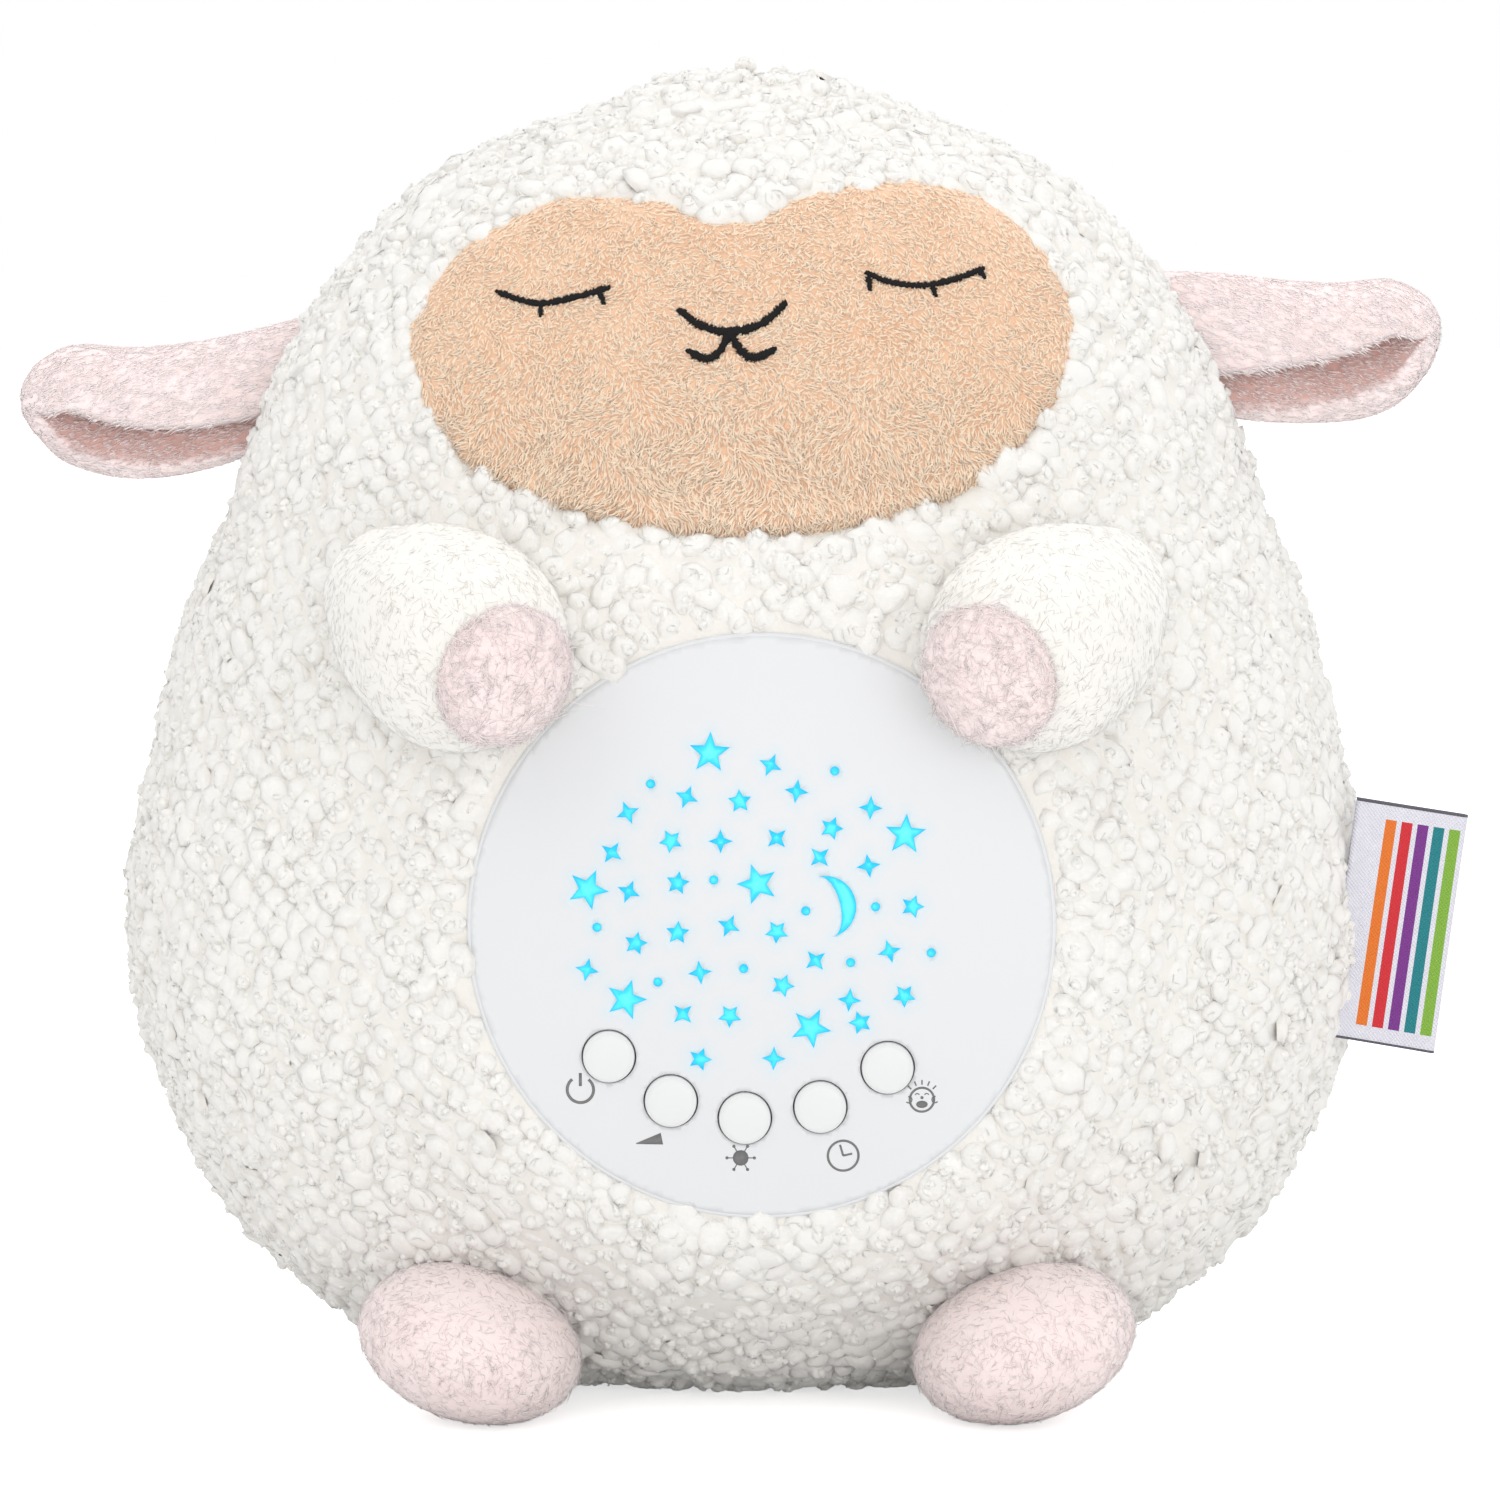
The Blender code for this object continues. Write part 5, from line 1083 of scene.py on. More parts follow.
def make_fill():
    """The fibre filling: the body's form in the cover, hollowed behind the panel and at the battery case."""
    finish = mottled_finish(
        "fibre_fill", 1.0, linear((205, 205, 200)), linear((245, 245, 242)), (260, 4, 0.65, 2), (0.0015, 0.8),
    )
    rows, columns = 110, 200
    turn, row = np.meshgrid(around(columns), np.linspace(0.001, len(BODY_CURVE) - 1, rows))
    x, y, z = np.moveaxis(body_point(turn, row, FILL_INSET), -1, 0)
    hollow = 1 - smoothstep(*FILL_HOLLOW_RADII, np.hypot(x - PANEL_X, z - PANEL_Z))
    off_x = np.abs(x) - CASE_HALF_WIDTH - FILL_OFF_CASE
    off_z = np.abs(z - (CASE_LOW_Z + CASE_HIGH_Z) / 2) - (CASE_HIGH_Z - CASE_LOW_Z) / 2 - FILL_OFF_CASE
    pocket = np.where(y > 0, 1 - smoothstep(0, FILL_CASE_FADE, np.maximum(off_x, off_z)), 0)
    y = y + np.where(y < 0, hollow, 0) * np.maximum(FILL_FRONT_Y - y, 0)
    y = y - pocket * np.maximum(y - FILL_BACK_Y, 0)
    points, bottom = closed_below(np.stack([x, y, z], axis=-1).reshape(-1, 3), rows, columns)
    faces = [grid_faces(rows, columns, wrap=True)[:, ::-1], bottom]
    item = add_piece("fibre_fill", "body", finish.material, points, faces, ["stuffing"], "stuffing")


def face_surface(x, z):
    """The face patch's nap surface: the body's front, tucked in over the last few millimetres."""
    margin = face_margin(x, z)
    inset = 0.0002 + 0.0030 * smoothstep(-0.0040, 0.0008, margin) ** 1.5
    notch = np.exp(-((x + 0.003) / 0.010) ** 2) * smoothstep(-0.0050, 0.0, margin) * (z > FACE_Z)
    return front_y(x, z, inset + 0.0012 * notch)


def face_strands(settings, rng):
    """Short strands in an even spiral over the face patch, combed down in swirls and fanned out low down."""
    count = settings.face_strands
    order = np.arange(count)
    turns = np.linspace(-math.pi, math.pi, 1441)
    weight = np.concatenate([[0], np.cumsum(outline_radius(FACE_OUTLINE, (FACE_X, FACE_Z), turns)[1:] ** 2)])
    turn = np.interp((order * (math.sqrt(5) - 1) / 2) % 1 * weight[-1], weight, turns)
    reach = outline_radius(FACE_OUTLINE, (FACE_X, FACE_Z), turn) * np.sqrt((order + 0.5) / count)
    x, z = FACE_X + reach * np.cos(turn), FACE_Z + reach * np.sin(turn)
    x, z = x + rng.normal(0, 0.00022, count), z + rng.normal(0, 0.00022, count)
    small = 0.0004
    roots = np.stack([x, face_surface(x, z), z], axis=-1)
    slope_x = (face_surface(x + small, z) - face_surface(x - small, z)) / (2 * small)
    slope_z = (face_surface(x, z + small) - face_surface(x, z - small)) / (2 * small)
    up = unit(np.stack([slope_x, -np.ones(count), slope_z], axis=-1))
    swirl = 1.1 * np.sin(x * 260 + 1.3 * np.sin(z * 310)) + 0.9 * np.sin(z * 340 + x * 170)
    swirl = swirl + rng.normal(0, 0.65, count)
    lower = smoothstep(0.2, -0.7, (z - FACE_Z) / FACE_HALF_HEIGHT)
    outward = np.arctan2((z - FACE_Z - 0.02) * 1.3, x - FACE_X)
    flow = -math.pi / 2 + (1 - 0.55 * lower) * swirl + lower * 0.5 * (outward + math.pi / 2)
    along = np.stack([np.cos(flow), np.zeros(count), np.sin(flow)], axis=-1)
    length = settings.face_strand_length * rng.uniform(0.65, 1.25, count) * (0.75 + 0.45 * lower)
    pile = strands(
        roots, along, up, length, settings.strand_width * rng.uniform(0.95, 1.5, count),
        rng.uniform(0.12, 0.36, count), rng.normal(0, 0.5, count), 2,
    )
    return with_tone_and_shade(pile, rng.uniform(-0.35, 0.35, count))


def make_face():
    """The tan patch: (share, angle) rings inside its outline, tucked in at the edge, with short strands."""
    settings = bpy.context.scene.lamb_plush
    finish = pile_finish("tan_plush_nap", (216, 162, 121), (255, 226, 197), (255, 237, 213))
    rings, columns = 46, 200
    share, angle = np.sin(np.linspace(0, math.pi / 2, rings))[:, None], around(columns)[None]
    radius = outline_radius(FACE_OUTLINE, (FACE_X, FACE_Z), angle)
    x, z = FACE_X + share * radius * np.cos(angle), FACE_Z + share * radius * np.sin(angle)
    front = np.stack([x, face_surface(x, z), z], axis=-1)
    share = 0.97 * share[::-1]
    x, z = FACE_X + share * radius * np.cos(angle), FACE_Z + share * radius * np.sin(angle)
    back = np.stack([x, front_y(x, z, 0.0046), z], axis=-1)
    base = np.concatenate([front, back]).reshape(-1, 3)
    faces = [grid_faces(2 * rings, columns, wrap=True)[:, ::-1]]
    pile = face_strands(settings, np.random.default_rng(21))
    # Painted shade: the base between the strands takes the deep root colour
    dressed = with_base(base, faces, -0.03, grid_uv(2 * rings, columns), pile)
    patch = add_plush("face_nap", "body", finish, dressed, "face_patch", "tan_plush")


def satin_threads(path, half_width, rng):
    """Short threads of six sides laid across a path, each bowed over the nap and thinner at its ends."""
    step = np.linalg.norm(np.diff(path, axis=0), axis=1)
    travelled = np.concatenate([[0], np.cumsum(step)])
    count, rows, sides = max(int(travelled[-1] / 0.00027), 4), 7, 6
    spots = np.linspace(0, travelled[-1], count)
    centre = np.stack([np.interp(spots, travelled, path[:, i]) for i in range(2)], axis=-1)
    ahead = unit(np.gradient(centre, axis=0))
    slant = unit(np.stack([-ahead[:, 1], ahead[:, 0]], axis=-1) + 0.35 * ahead)
    ends = np.minimum(spots, travelled[-1] - spots) / 0.0012
    reach = half_width * (0.6 + 0.4 * np.clip(ends, 0, 1)) * rng.uniform(0.68, 1.3, count)
    t = np.linspace(-1, 1, rows)[None, :, None]
    shift = rng.normal(0, 0.00004, (count, 1, 1))
    flat = centre[:, None] + slant[:, None] * (t * reach[:, None, None] + shift)
    rise = 0.00055 * (1 - t[..., 0] ** 4) - 0.00005
    y = face_surface(flat[..., 0], flat[..., 1]) - 0.00020 - rise
    line = np.stack([flat[..., 0], y, flat[..., 1]], axis=-1)
    over = np.broadcast_to((0.0, -1.0, 0.0), line.shape)
    wing = unit(np.cross(over, unit(np.gradient(line, axis=1))))
    turns = around(sides)
    ring = np.cos(turns)[:, None] * wing[:, :, None] + np.sin(turns)[:, None] * over[:, :, None]
    thin = 0.00019 * np.sqrt(np.clip(1.04 - t[..., 0] ** 4, 0, 1))[..., None, None]
    points = (line[:, :, None] + thin * ring).reshape(-1, 3)
    start = np.arange(count)[:, None, None] * rows * sides
    return points, [(start + grid_faces(rows, sides, wrap=True)[None]).reshape(-1, 4)]


def make_embroidery():
    """Satin stitches: threads laid side by side along each stroke of the eyes, nose and mouth."""
    finish = mottled_finish(
        "black_embroidery", 0.8, (0.006, 0.006, 0.006), (0.03, 0.028, 0.028), (5200, 2), (0.00008, 0.6),
        specular_ior_level=0.1,
    )
    rng = np.random.default_rng(22)
    for name, (place_x, place_z), size, strokes in EMBROIDERY:
        middle = np.array((FACE_X + place_x * FACE_HALF_WIDTH, FACE_Z + place_z * FACE_HALF_HEIGHT))
        half_width = 0.00092 if name == "mouth" else 0.00070
        paths = [middle + smooth_path(stroke, 24) * size for stroke in strokes]
        parts = [satin_threads(path, half_width, rng) for path in paths]
        add_piece(f"{name}_stitches", "body", finish.material, *joined(parts), [name], "black_thread")


def surface_samples(points, faces, count, rng):
    """Random places over a mesh of quads, evenly by area: two shares inside a chosen quad, and its normal."""
    corner = points[faces]
    cross = np.cross(corner[:, 2] - corner[:, 0], corner[:, 3] - corner[:, 1])
    area = np.linalg.norm(cross, axis=1)
    chosen = rng.choice(len(faces), count, p=area / area.sum())
    u, v = rng.uniform(0, 1, (2, count, 1))
    a, b, c, d = (corner[chosen, i] for i in range(4))
    return a * (1 - u) * (1 - v) + b * u * (1 - v) + c * u * v + d * (1 - u) * v, unit(cross[chosen]), chosen


def ear_surface(side, root_z, length, edges, tip, twist_deg):
    """An ear as a grid of sections: ellipses between its upper and lower edge, slit open to a pocket.

    A section is middle + half height sin(t) upwards + half thickness cos(t) forwards, turned about its
    middle by an angle that grows along the ear. The pocket is a second, shallower arc inside the slit.
    """
    rows = [(*upper, *lower, thick) for (upper, lower), thick in zip(edges, EAR_THICKNESS_SHARES)]
    rows = smooth_path(rows + [(*tip, *tip, 0.02)], 7)
    share = rows[:, :1]
    full_slit = math.radians(EAR_SLIT_DEG)
    slit = full_slit * (1 - smoothstep(0.76, 0.94, share))
    outer = slit + (math.tau - 2 * slit) * np.linspace(0, 1, 48)[None]
    inner = np.linspace(-math.pi / 2, math.pi / 2, 20)[None, 1:-1]
    open_share = np.sin(slit) / math.sin(full_slit)
    pocket_rise = np.sin(slit) * np.sin(inner) + 0.34 * open_share * np.cos(inner)
    pocket_front = np.cos(slit) - 1.05 * open_share * np.cos(inner)
    rise = np.concatenate([np.sin(outer), pocket_rise], axis=1)
    ahead = np.concatenate([np.cos(outer), pocket_front], axis=1)
    turn = np.radians(EAR_ROOT_TURN_DEG + twist_deg * share)
    rise, ahead = rise * np.cos(turn) + ahead * np.sin(turn), ahead * np.cos(turn) - rise * np.sin(turn)
    top, bottom = rows[:, None, :2] * (side, 1) * length, rows[:, None, 2:4] * (side, 1) * length
    flat = (top + bottom) / 2 + (top - bottom) / 2 * rise[..., None]
    thick = EAR_HALF_THICKNESS * np.maximum(rows[:, 4, None], 0.02)
    root = np.array((side * (side_x(EAR_Y, root_z) - EAR_ROOT_DEPTH), EAR_Y, root_z))
    return np.stack([flat[..., 0], -thick * ahead, flat[..., 1]], axis=-1) + root


def make_ears():
    """Folded leaves, each with a pocket in its front and pile combed outwards, darker in the pocket."""
    settings = bpy.context.scene.lamb_plush
    finish = pile_finish("pink_plush_nap", (212, 164, 154), (254, 239, 238), (255, 249, 248))
    rng = np.random.default_rng(23)
    for name, side, root_z, length, edges, tip in EARS:
        grid = ear_surface(side, root_z, length, edges, tip, EAR_TWIST_DEG[name])
        rows, columns = grid.shape[:2]
        base = grid.reshape(-1, 3)
        faces = grid_faces(rows, columns, wrap=True, flip=side < 0)
        roots, up, chosen = surface_samples(base, faces, settings.ear_strands, rng)
        count = len(roots)
        in_pocket = (chosen % columns) >= 47
        along = np.array((side * 1.0, 0, -0.35)) + rng.normal(0, 0.18, (count, 3))
        pile = strands(
            roots - up * 0.0002, along, up, 0.0022 * rng.uniform(0.6, 1.2, count),
            settings.strand_width * rng.uniform(0.45, 0.8, count),
            np.where(in_pocket, 0.15, rng.uniform(0.12, 0.35, count)), rng.normal(0, 0.22, count), 2,
        )
        # Painted shade: the hairs and the base inside the pocket take darker values
        pile = with_tone_and_shade(pile, np.where(in_pocket, -0.5, 0.0))
        base_value = np.tile(np.where(np.arange(columns) >= 48, -0.2, 0.3), rows)
        dressed = with_base(base, [faces], base_value, grid_uv(rows, columns), pile)
        ear = add_plush(f"{name}_ear_plush", f"{name}_ear", finish, dressed, f"ear_{name}", "pink_plush")


def off_the_body(points, gap=0.0003):
    """Points inside the body brought forward to its front surface."""
    front = front_y(points[:, 0], points[:, 2]) - gap
    return np.stack([points[:, 0], np.minimum(points[:, 1], front), points[:, 2]], axis=-1)


def off_body_and_floor(points, height=FLOOR_CLEAR):
    """Points brought off the body's front, and up to a height over the floor."""
    points = off_the_body(points)
    points[:, 2] = np.maximum(points[:, 2], height)
    return points


def arm_matrix(side):
    """The arm's own frame: its middle is the ball's, and its Z axis runs out to the paw."""
    heading = Vector((side * ARM_HEADING[0], ARM_HEADING[1], ARM_HEADING[2])).normalized()
    turn = Vector((0, 0, 1)).rotation_difference(heading).to_matrix().to_4x4()
    y = float(front_y(ARM_X, ARM_Z)) - ARM_STANDOFF
    return Matrix.Translation((side * ARM_X, y, ARM_Z)) @ turn


def grow_pile(base, faces, count, rng, flow, length, width, lift, spread, curl, rows):
    """Strands over a mesh, whose flow function gives their direction from their roots."""
    roots, up, _ = surface_samples(base, faces, count, rng)
    along = unit(flow(roots)) + rng.normal(0, spread, (count, 3))
    return strands(
        roots - up * 0.0003, along, up, length * rng.uniform(0.6, 1.25, count),
        width * rng.uniform(0.8, 1.3, count), lift * rng.uniform(0.5, 1.3, count),
        rng.normal(0, curl, count), rows,
    )


def closed_profile(profile):
    """A profile with a pole before its first row and after its last one."""
    return np.vstack([profile[:1] * (0, 1), profile, profile[-1:] * (0, 1)])


def make_arms():
    """Arms and paws: profiles of radius by distance along a heading, turned about it and set on the chest."""
    settings = bpy.context.scene.lamb_plush
    cream = pile_finish("cream_plush_nap", (228, 224, 215), (240, 237, 231), (246, 244, 240), 900)
    pink = pile_finish("paw_plush_nap", (241, 204, 201), (249, 233, 231), (253, 244, 243))
    arm_profile = closed_profile(smooth_path(ARM_PROFILE_SHARES, 8)[:, ::-1] * ARM_RADIUS)
    paw_profile = closed_profile(smooth_path(PAW_PROFILE_SHARES, 8)[:-1, ::-1] * ARM_RADIUS)
    for name, side in SIDES:
        rng = np.random.default_rng(24 + side)
        matrix, segments = arm_matrix(side), 56
        combed = 0.6 * np.array(matrix)[:3, 2] + (0, 0, -0.8)
        base, (faces,) = lathe(arm_profile, segments, matrix)
        base = off_the_body(base)
        pile = grow_pile(
            base, faces[segments:-segments], settings.arm_strands, rng, lambda roots: combed,
            length=0.0029, width=0.55 * settings.strand_width, lift=0.18, spread=0.32, curl=0.5, rows=2,
        )
        dressed = with_base(base, [faces], 0.5, grid_uv(len(arm_profile), segments), pile)
        arm = add_plush(
            f"{name}_arm_plush", f"{name}_arm", cream, dressed, f"arm_{name}", "cream_plush", off_the_body,
        )
        segments = 40
        base, (faces,) = lathe(paw_profile, segments, matrix)
        middle = np.array(matrix @ Vector((0, 0, 1.1 * ARM_RADIUS)))
        pile = grow_pile(
            base, faces[segments:], settings.paw_strands, rng,
            lambda roots: rng.normal(0, 1, roots.shape) + 0.3 * unit(roots - middle),
            length=0.0030, width=0.62 * settings.strand_width, lift=0.17, spread=0.3, curl=0.9, rows=3,
        )
        dressed = with_base(base, [faces], 0.3, grid_uv(len(paw_profile), segments), pile)
        paw = add_plush(f"{name}_paw_plush", f"{name}_arm", pink, dressed, f"paw_{name}", "pink_plush")


def make_feet():
    """Ellipsoids tilted outwards and pressed flat on the ground and the body, with pile that radiates."""
    settings = bpy.context.scene.lamb_plush
    width, depth, height = FOOT_SIZE
    tilt = math.radians(FOOT_TILT_DEG)
    rise = math.hypot(width * math.sin(tilt), height * math.cos(tilt)) - FOOT_PRESSED
    rows, segments = 34, 56
    turns = np.linspace(math.pi, 0, rows)
    profile = np.stack([np.sin(turns), np.cos(turns)], axis=-1)
    profile[[0, -1], 0] = 0
    for name, side in SIDES:
        matrix = Matrix.Translation((side * FOOT_X, FOOT_Y, rise)) @ Matrix.Rotation(-side * tilt, 4, "Y")
        base, (faces,) = lathe(profile, segments, matrix @ Matrix.Diagonal((width, depth, height, 1)))
        base = off_body_and_floor(base, 0.0004)
        centre = np.array((side * FOOT_X * FOOT_PILE_OUT, FOOT_Y - FOOT_PILE_AHEAD, rise + FOOT_PILE_UP))
        pile = grow_pile(
            base, faces, settings.foot_strands, np.random.default_rng(27 + side),
            lambda roots: roots - centre,
            length=0.0030, width=settings.strand_width * 0.55, lift=0.22, spread=0.4, curl=0.55, rows=2,
        )
        dressed = with_base(base, [faces], 0.3, grid_uv(rows, segments), pile)
        foot = add_plush(
            f"{name}_foot_plush", "body", bpy.data.materials["paw_plush_nap"], dressed,
            f"foot_{name}", "pink_plush", off_body_and_floor,
        )


def dome_height(radius):
    """How far the dome stands over the panel's rim: its rise, less with the square of the radius."""
    return PANEL_RISE * (1 - (radius / PANEL_RADIUS) ** 2)


def dome(places, rise=0.0):
    """Places (x, y) about the panel's middle put on its dome, and raised off it."""
    places = np.asarray(places, dtype=float)
    height = dome_height(np.hypot(places[..., 0], places[..., 1])) + rise
    return np.stack([PANEL_X + places[..., 0], RIM_Y - height, PANEL_Z + places[..., 1]], axis=-1)


def star(place, turn_deg, points, radius, waist):
    """A star outline, with straight edges between its points and its waists."""
    turns = math.radians(turn_deg) + np.arange(2 * points) * math.pi / points
    reach = np.where(np.arange(2 * points) % 2 == 0, radius, radius * waist)
    return on_circle(turns) * reach[:, None] + np.array(place) * PANEL_RADIUS


def circle(place, radius, steps):
    """A round outline about a place given in metres."""
    return np.array(place) + radius * on_circle(around(steps))


def moon():
    """A crescent: half a circle outside, and half an ellipse as deep as the bite inside."""
    turns = np.linspace(-math.pi / 2, math.pi / 2, 25)
    outer = MOON_RADIUS * on_circle(turns)
    inner = np.stack([MOON_BITE * np.cos(turns), MOON_RADIUS * np.sin(turns)], axis=-1)[-2:0:-1]
    turn = math.radians(MOON_TURN_DEG)
    spin = np.array(((math.cos(turn), math.sin(turn)), (-math.sin(turn), math.cos(turn))))
    return np.vstack([outer, inner]) @ spin + np.array(MOON) * PANEL_RADIUS


def window_outlines():
    """Every light window's outline on the panel."""
    kinds = (BIG_STARS, BIG_STAR), (SMALL_STARS, SMALL_STAR), (SPARKLES, SPARKLE)
    outlines = [star((x, y), turn, *form) for rows, form in kinds for x, y, turn in rows]
    outlines += [circle(np.array(place) * PANEL_RADIUS, DOT_RADIUS, 18) for place in DOTS]
    return outlines + [moon()]


def outline_distance(places, outline):
    """The distance from each place to the nearest edge of an outline."""
    start, end = outline, np.roll(outline, -1, axis=0)
    edge = end - start
    away = places[:, None] - start[None]
    share = np.clip(np.sum(away * edge, axis=-1) / np.sum(edge * edge, axis=-1), 0, 1)
    return np.linalg.norm(away - share[..., None] * edge, axis=-1).min(axis=1)


def cut_panel(windows, wells, edge_radius, cell):
    """The dome seen from the front as one constrained triangulation of its outlines and a lattice.

    It gives the places, the triangles of white plastic and the triangles inside the windows.
    """
    loops = [circle((0, 0), edge_radius, 180)] + wells + windows
    span = np.arange(-PANEL_RADIUS, PANEL_RADIUS, cell)
    x, y = (v.ravel() for v in np.meshgrid(span, span * math.sqrt(3) / 2 * LATTICE_STRETCH))
    x = x + (np.round(y / (cell * 1.005)) % 2) * cell / 2
    lattice = np.stack([x, y], axis=-1)[np.hypot(x, y) < edge_radius - LATTICE_OFF_EDGE]
    near = np.min([outline_distance(lattice, loop) for loop in loops[1:]], axis=0)
    places = np.vstack(loops + [lattice[near > LATTICE_OFF_OUTLINES]])
    starts = np.concatenate([[0], np.cumsum([len(loop) for loop in loops])])
    groups = [list(range(starts[i], starts[i + 1])) for i in range(len(loops))]
    found, _, triangles, _, _, sources = delaunay_2d_cdt([Vector(p) for p in places], [], groups, 0, 1e-7)
    places = np.array([tuple(p) for p in found])
    triangles = np.array([list(face) for face in triangles])
    kind = np.array([max(source) if source else 0 for source in sources])
    a, b, c = (places[triangles[:, i]] for i in range(3))
    turned_over = (b[:, 0] - a[:, 0]) * (c[:, 1] - a[:, 1]) - (b[:, 1] - a[:, 1]) * (c[:, 0] - a[:, 0]) < 0
    triangles[turned_over] = triangles[turned_over][:, ::-1]
    return places, triangles[kind == 0], triangles[kind > len(wells)]


def panel_rim(edge_radius):
    """The panel's rounded rim with its skirt, a lathed profile, and the four screw bosses behind it."""
    skirt = PANEL_RADIUS - PANEL_SKIRT_STEP
    inside = skirt - PANEL_SKIRT_WALL
    rows = rounded_edge(edge_radius, dome_height(edge_radius), PANEL_EDGE, np.linspace(0, math.pi / 2, 7))
    rows += [
        (PANEL_RADIUS, -PANEL_THICKNESS + 0.0003), (PANEL_RADIUS - 0.0003, -PANEL_THICKNESS),
        (skirt, -PANEL_THICKNESS), (skirt, -PANEL_SKIRT_DEPTH), (inside, -PANEL_SKIRT_DEPTH),
        (inside, -PANEL_SKIRT_FRONT),
    ]
    points, (faces,) = lathe(rows, 180, PANEL_MATRIX)
    parts = [(points, [faces[:, ::-1]])]
    boss = [
        (BOSS_BORE, -BOSS_FRONT), (BOSS_BORE, -BOSS_BACK), (BOSS_RADIUS, -BOSS_BACK),
        (BOSS_RADIUS, -BOSS_FRONT),
    ]
    for turn in BOSS_TURNS_DEG:
        place = Matrix.Translation((*(BOSS_CIRCLE * bearing(turn)), 0))
        parts.append(lathe(boss, 20, PANEL_MATRIX @ place))
    return parts


def make_windows(settings, places, lit, distance):
    """The windows' plastic, thickened behind the dome's face, and brighter towards the middle of each."""
    light = Finish("lit_window", tuple(settings.window_colour), 0.3, emission_strength=WINDOW_GLOW)
    weight = light.value("depth") * 0.9 + light.noise(300, 2) * 0.5 - 0.25
    colour = weight.mix(linear((22, 186, 238)), linear((84, 226, 247)))
    light.set("Base Color", colour)
    light.set("Emission Color", colour)
    points, faces = thickened(dome(places, -0.00002), lit, np.array((0, WINDOW_THICKNESS, 0)))
    depth = np.tile(np.clip(distance / WINDOW_BRIGHT_DEPTH, 0, 1), 2)
    used = np.unique(np.concatenate([face.ravel() for face in faces]))
    number = np.zeros(len(points), dtype=int)
    number[used] = np.arange(len(used))
    add_piece(
        "light_windows", "body", light.material, points[used], [number[face] for face in faces],
        ["star_windows"], "cyan_window", {"depth": depth[used]},
    )


def make_panel():
    """The dome with its windows and button wells, its rim, its skirt and its bosses."""
    settings = bpy.context.scene.lamb_panel
    windows = window_outlines()
    well_radius, edge_radius = BUTTON_RADIUS + settings.gap, PANEL_RADIUS - PANEL_EDGE
    wells = [circle(np.array(place) * PANEL_RADIUS, well_radius, 64) for place in BUTTONS.values()]
    places, white, lit = cut_panel(windows, wells, edge_radius, settings.cell)
    distance = np.min([outline_distance(places, loop) for loop in windows], axis=0)
    finish = Finish("panel_plastic", linear((250, 250, 250)), 0.32, specular_ior_level=0.35)
    finish.set("Base Color", finish.value("halo").mix(linear((223, 224, 226)), linear((150, 224, 246))))
    finish.set("Roughness", finish.noise(140, 3) * 0.08 + 0.28)
    finish.bump(finish.noise(5200, 2, 0.6), 0.00003, 0.1)
    front = thickened(dome(places), white, np.array((0, PANEL_THICKNESS, 0)))
    points, faces = joined([front] + panel_rim(edge_radius))
    glow = np.exp(-((distance / settings.halo) ** 1.2)) * HALO_STRENGTH
    halo = np.concatenate([glow, glow, np.zeros(len(points) - 2 * len(glow))])
    add_piece(
        "panel_dome", "body", finish.material, points, faces, ["front_panel"], "white_plastic",
        {"halo": halo},
    )
    make_windows(settings, places, lit, distance)


def make_buttons():
    """Five caps: a low crown, a rounded edge, and a lip and stem behind the dome."""
    finish = plastic_finish("button_plastic", (227, 228, 228), 0.3)
    radius, flat, stem = BUTTON_RADIUS, BUTTON_RADIUS - BUTTON_EDGE, BUTTON_STEM_RADIUS
    lip = -PANEL_THICKNESS - BUTTON_LIP_DROP
    lip_back, stem_back = lip - BUTTON_LIP_HEIGHT, lip - BUTTON_STEM_DEPTH
    crown = [(r, BUTTON_TOP + BUTTON_CROWN * (1 - (r / radius) ** 2)) for r in np.linspace(0, flat, 12)]
    rows = crown + rounded_edge(flat, BUTTON_TOP, BUTTON_EDGE, np.linspace(0, math.pi / 2, 8)[1:]) + [
        (radius, lip), (radius + BUTTON_LIP, lip), (radius + BUTTON_LIP, lip_back), (stem, lip_back),
        (stem, stem_back), (0, stem_back),
    ]
    for name, (share_x, share_y) in BUTTONS.items():
        x, y = share_x * PANEL_RADIUS, share_y * PANEL_RADIUS
        place = Matrix.Translation((x, y, dome_height(math.hypot(x, y) + radius)))
        points, (faces,) = lathe(rows, 64, PANEL_MATRIX @ place)
        add_piece(
            f"{name}_cap", f"{name}_button", finish, points, [faces[:, ::-1]],
            [f"button_{name}"], "white_plastic",
        )


def band(path, half_width, rise=0.00004):
    """A flat printed stroke on the dome: its edges stand off a path by the half width."""
    path = np.asarray(path, dtype=float)
    side = unit(np.gradient(path, axis=0))
    side = np.stack([-side[:, 1], side[:, 0]], axis=-1) * np.broadcast_to(half_width, len(path))[:, None]
    left, right = path + side, path - side
    ring = np.stack([dome(left, rise), dome(left, -0.0001), dome(right, -0.0001), dome(right, rise)], axis=1)
    points = ring.reshape(-1, 3)
    first = np.array([[3, 2, 1, 0]])
    last = np.array([[0, 1, 2, 3]]) + len(points) - 4
    return points, [grid_faces(len(path), 4, wrap=True), first, last]


def arc(place, radius, start_deg, end_deg, steps=40):
    """Points along part of a circle."""
    return np.array(place) + radius * on_circle(np.radians(np.linspace(start_deg, end_deg, steps)))


def spot(place, radius_x, radius_y=None):
    """A filled ellipse as one band, whose half width follows the ellipse along its length."""
    turns = np.linspace(-0.999, 0.999, 24)
    path = np.array(place) + np.stack([radius_x * turns, np.zeros(24)], axis=-1)
    return band(path, (radius_y or radius_x) * np.sqrt(1 - turns**2))


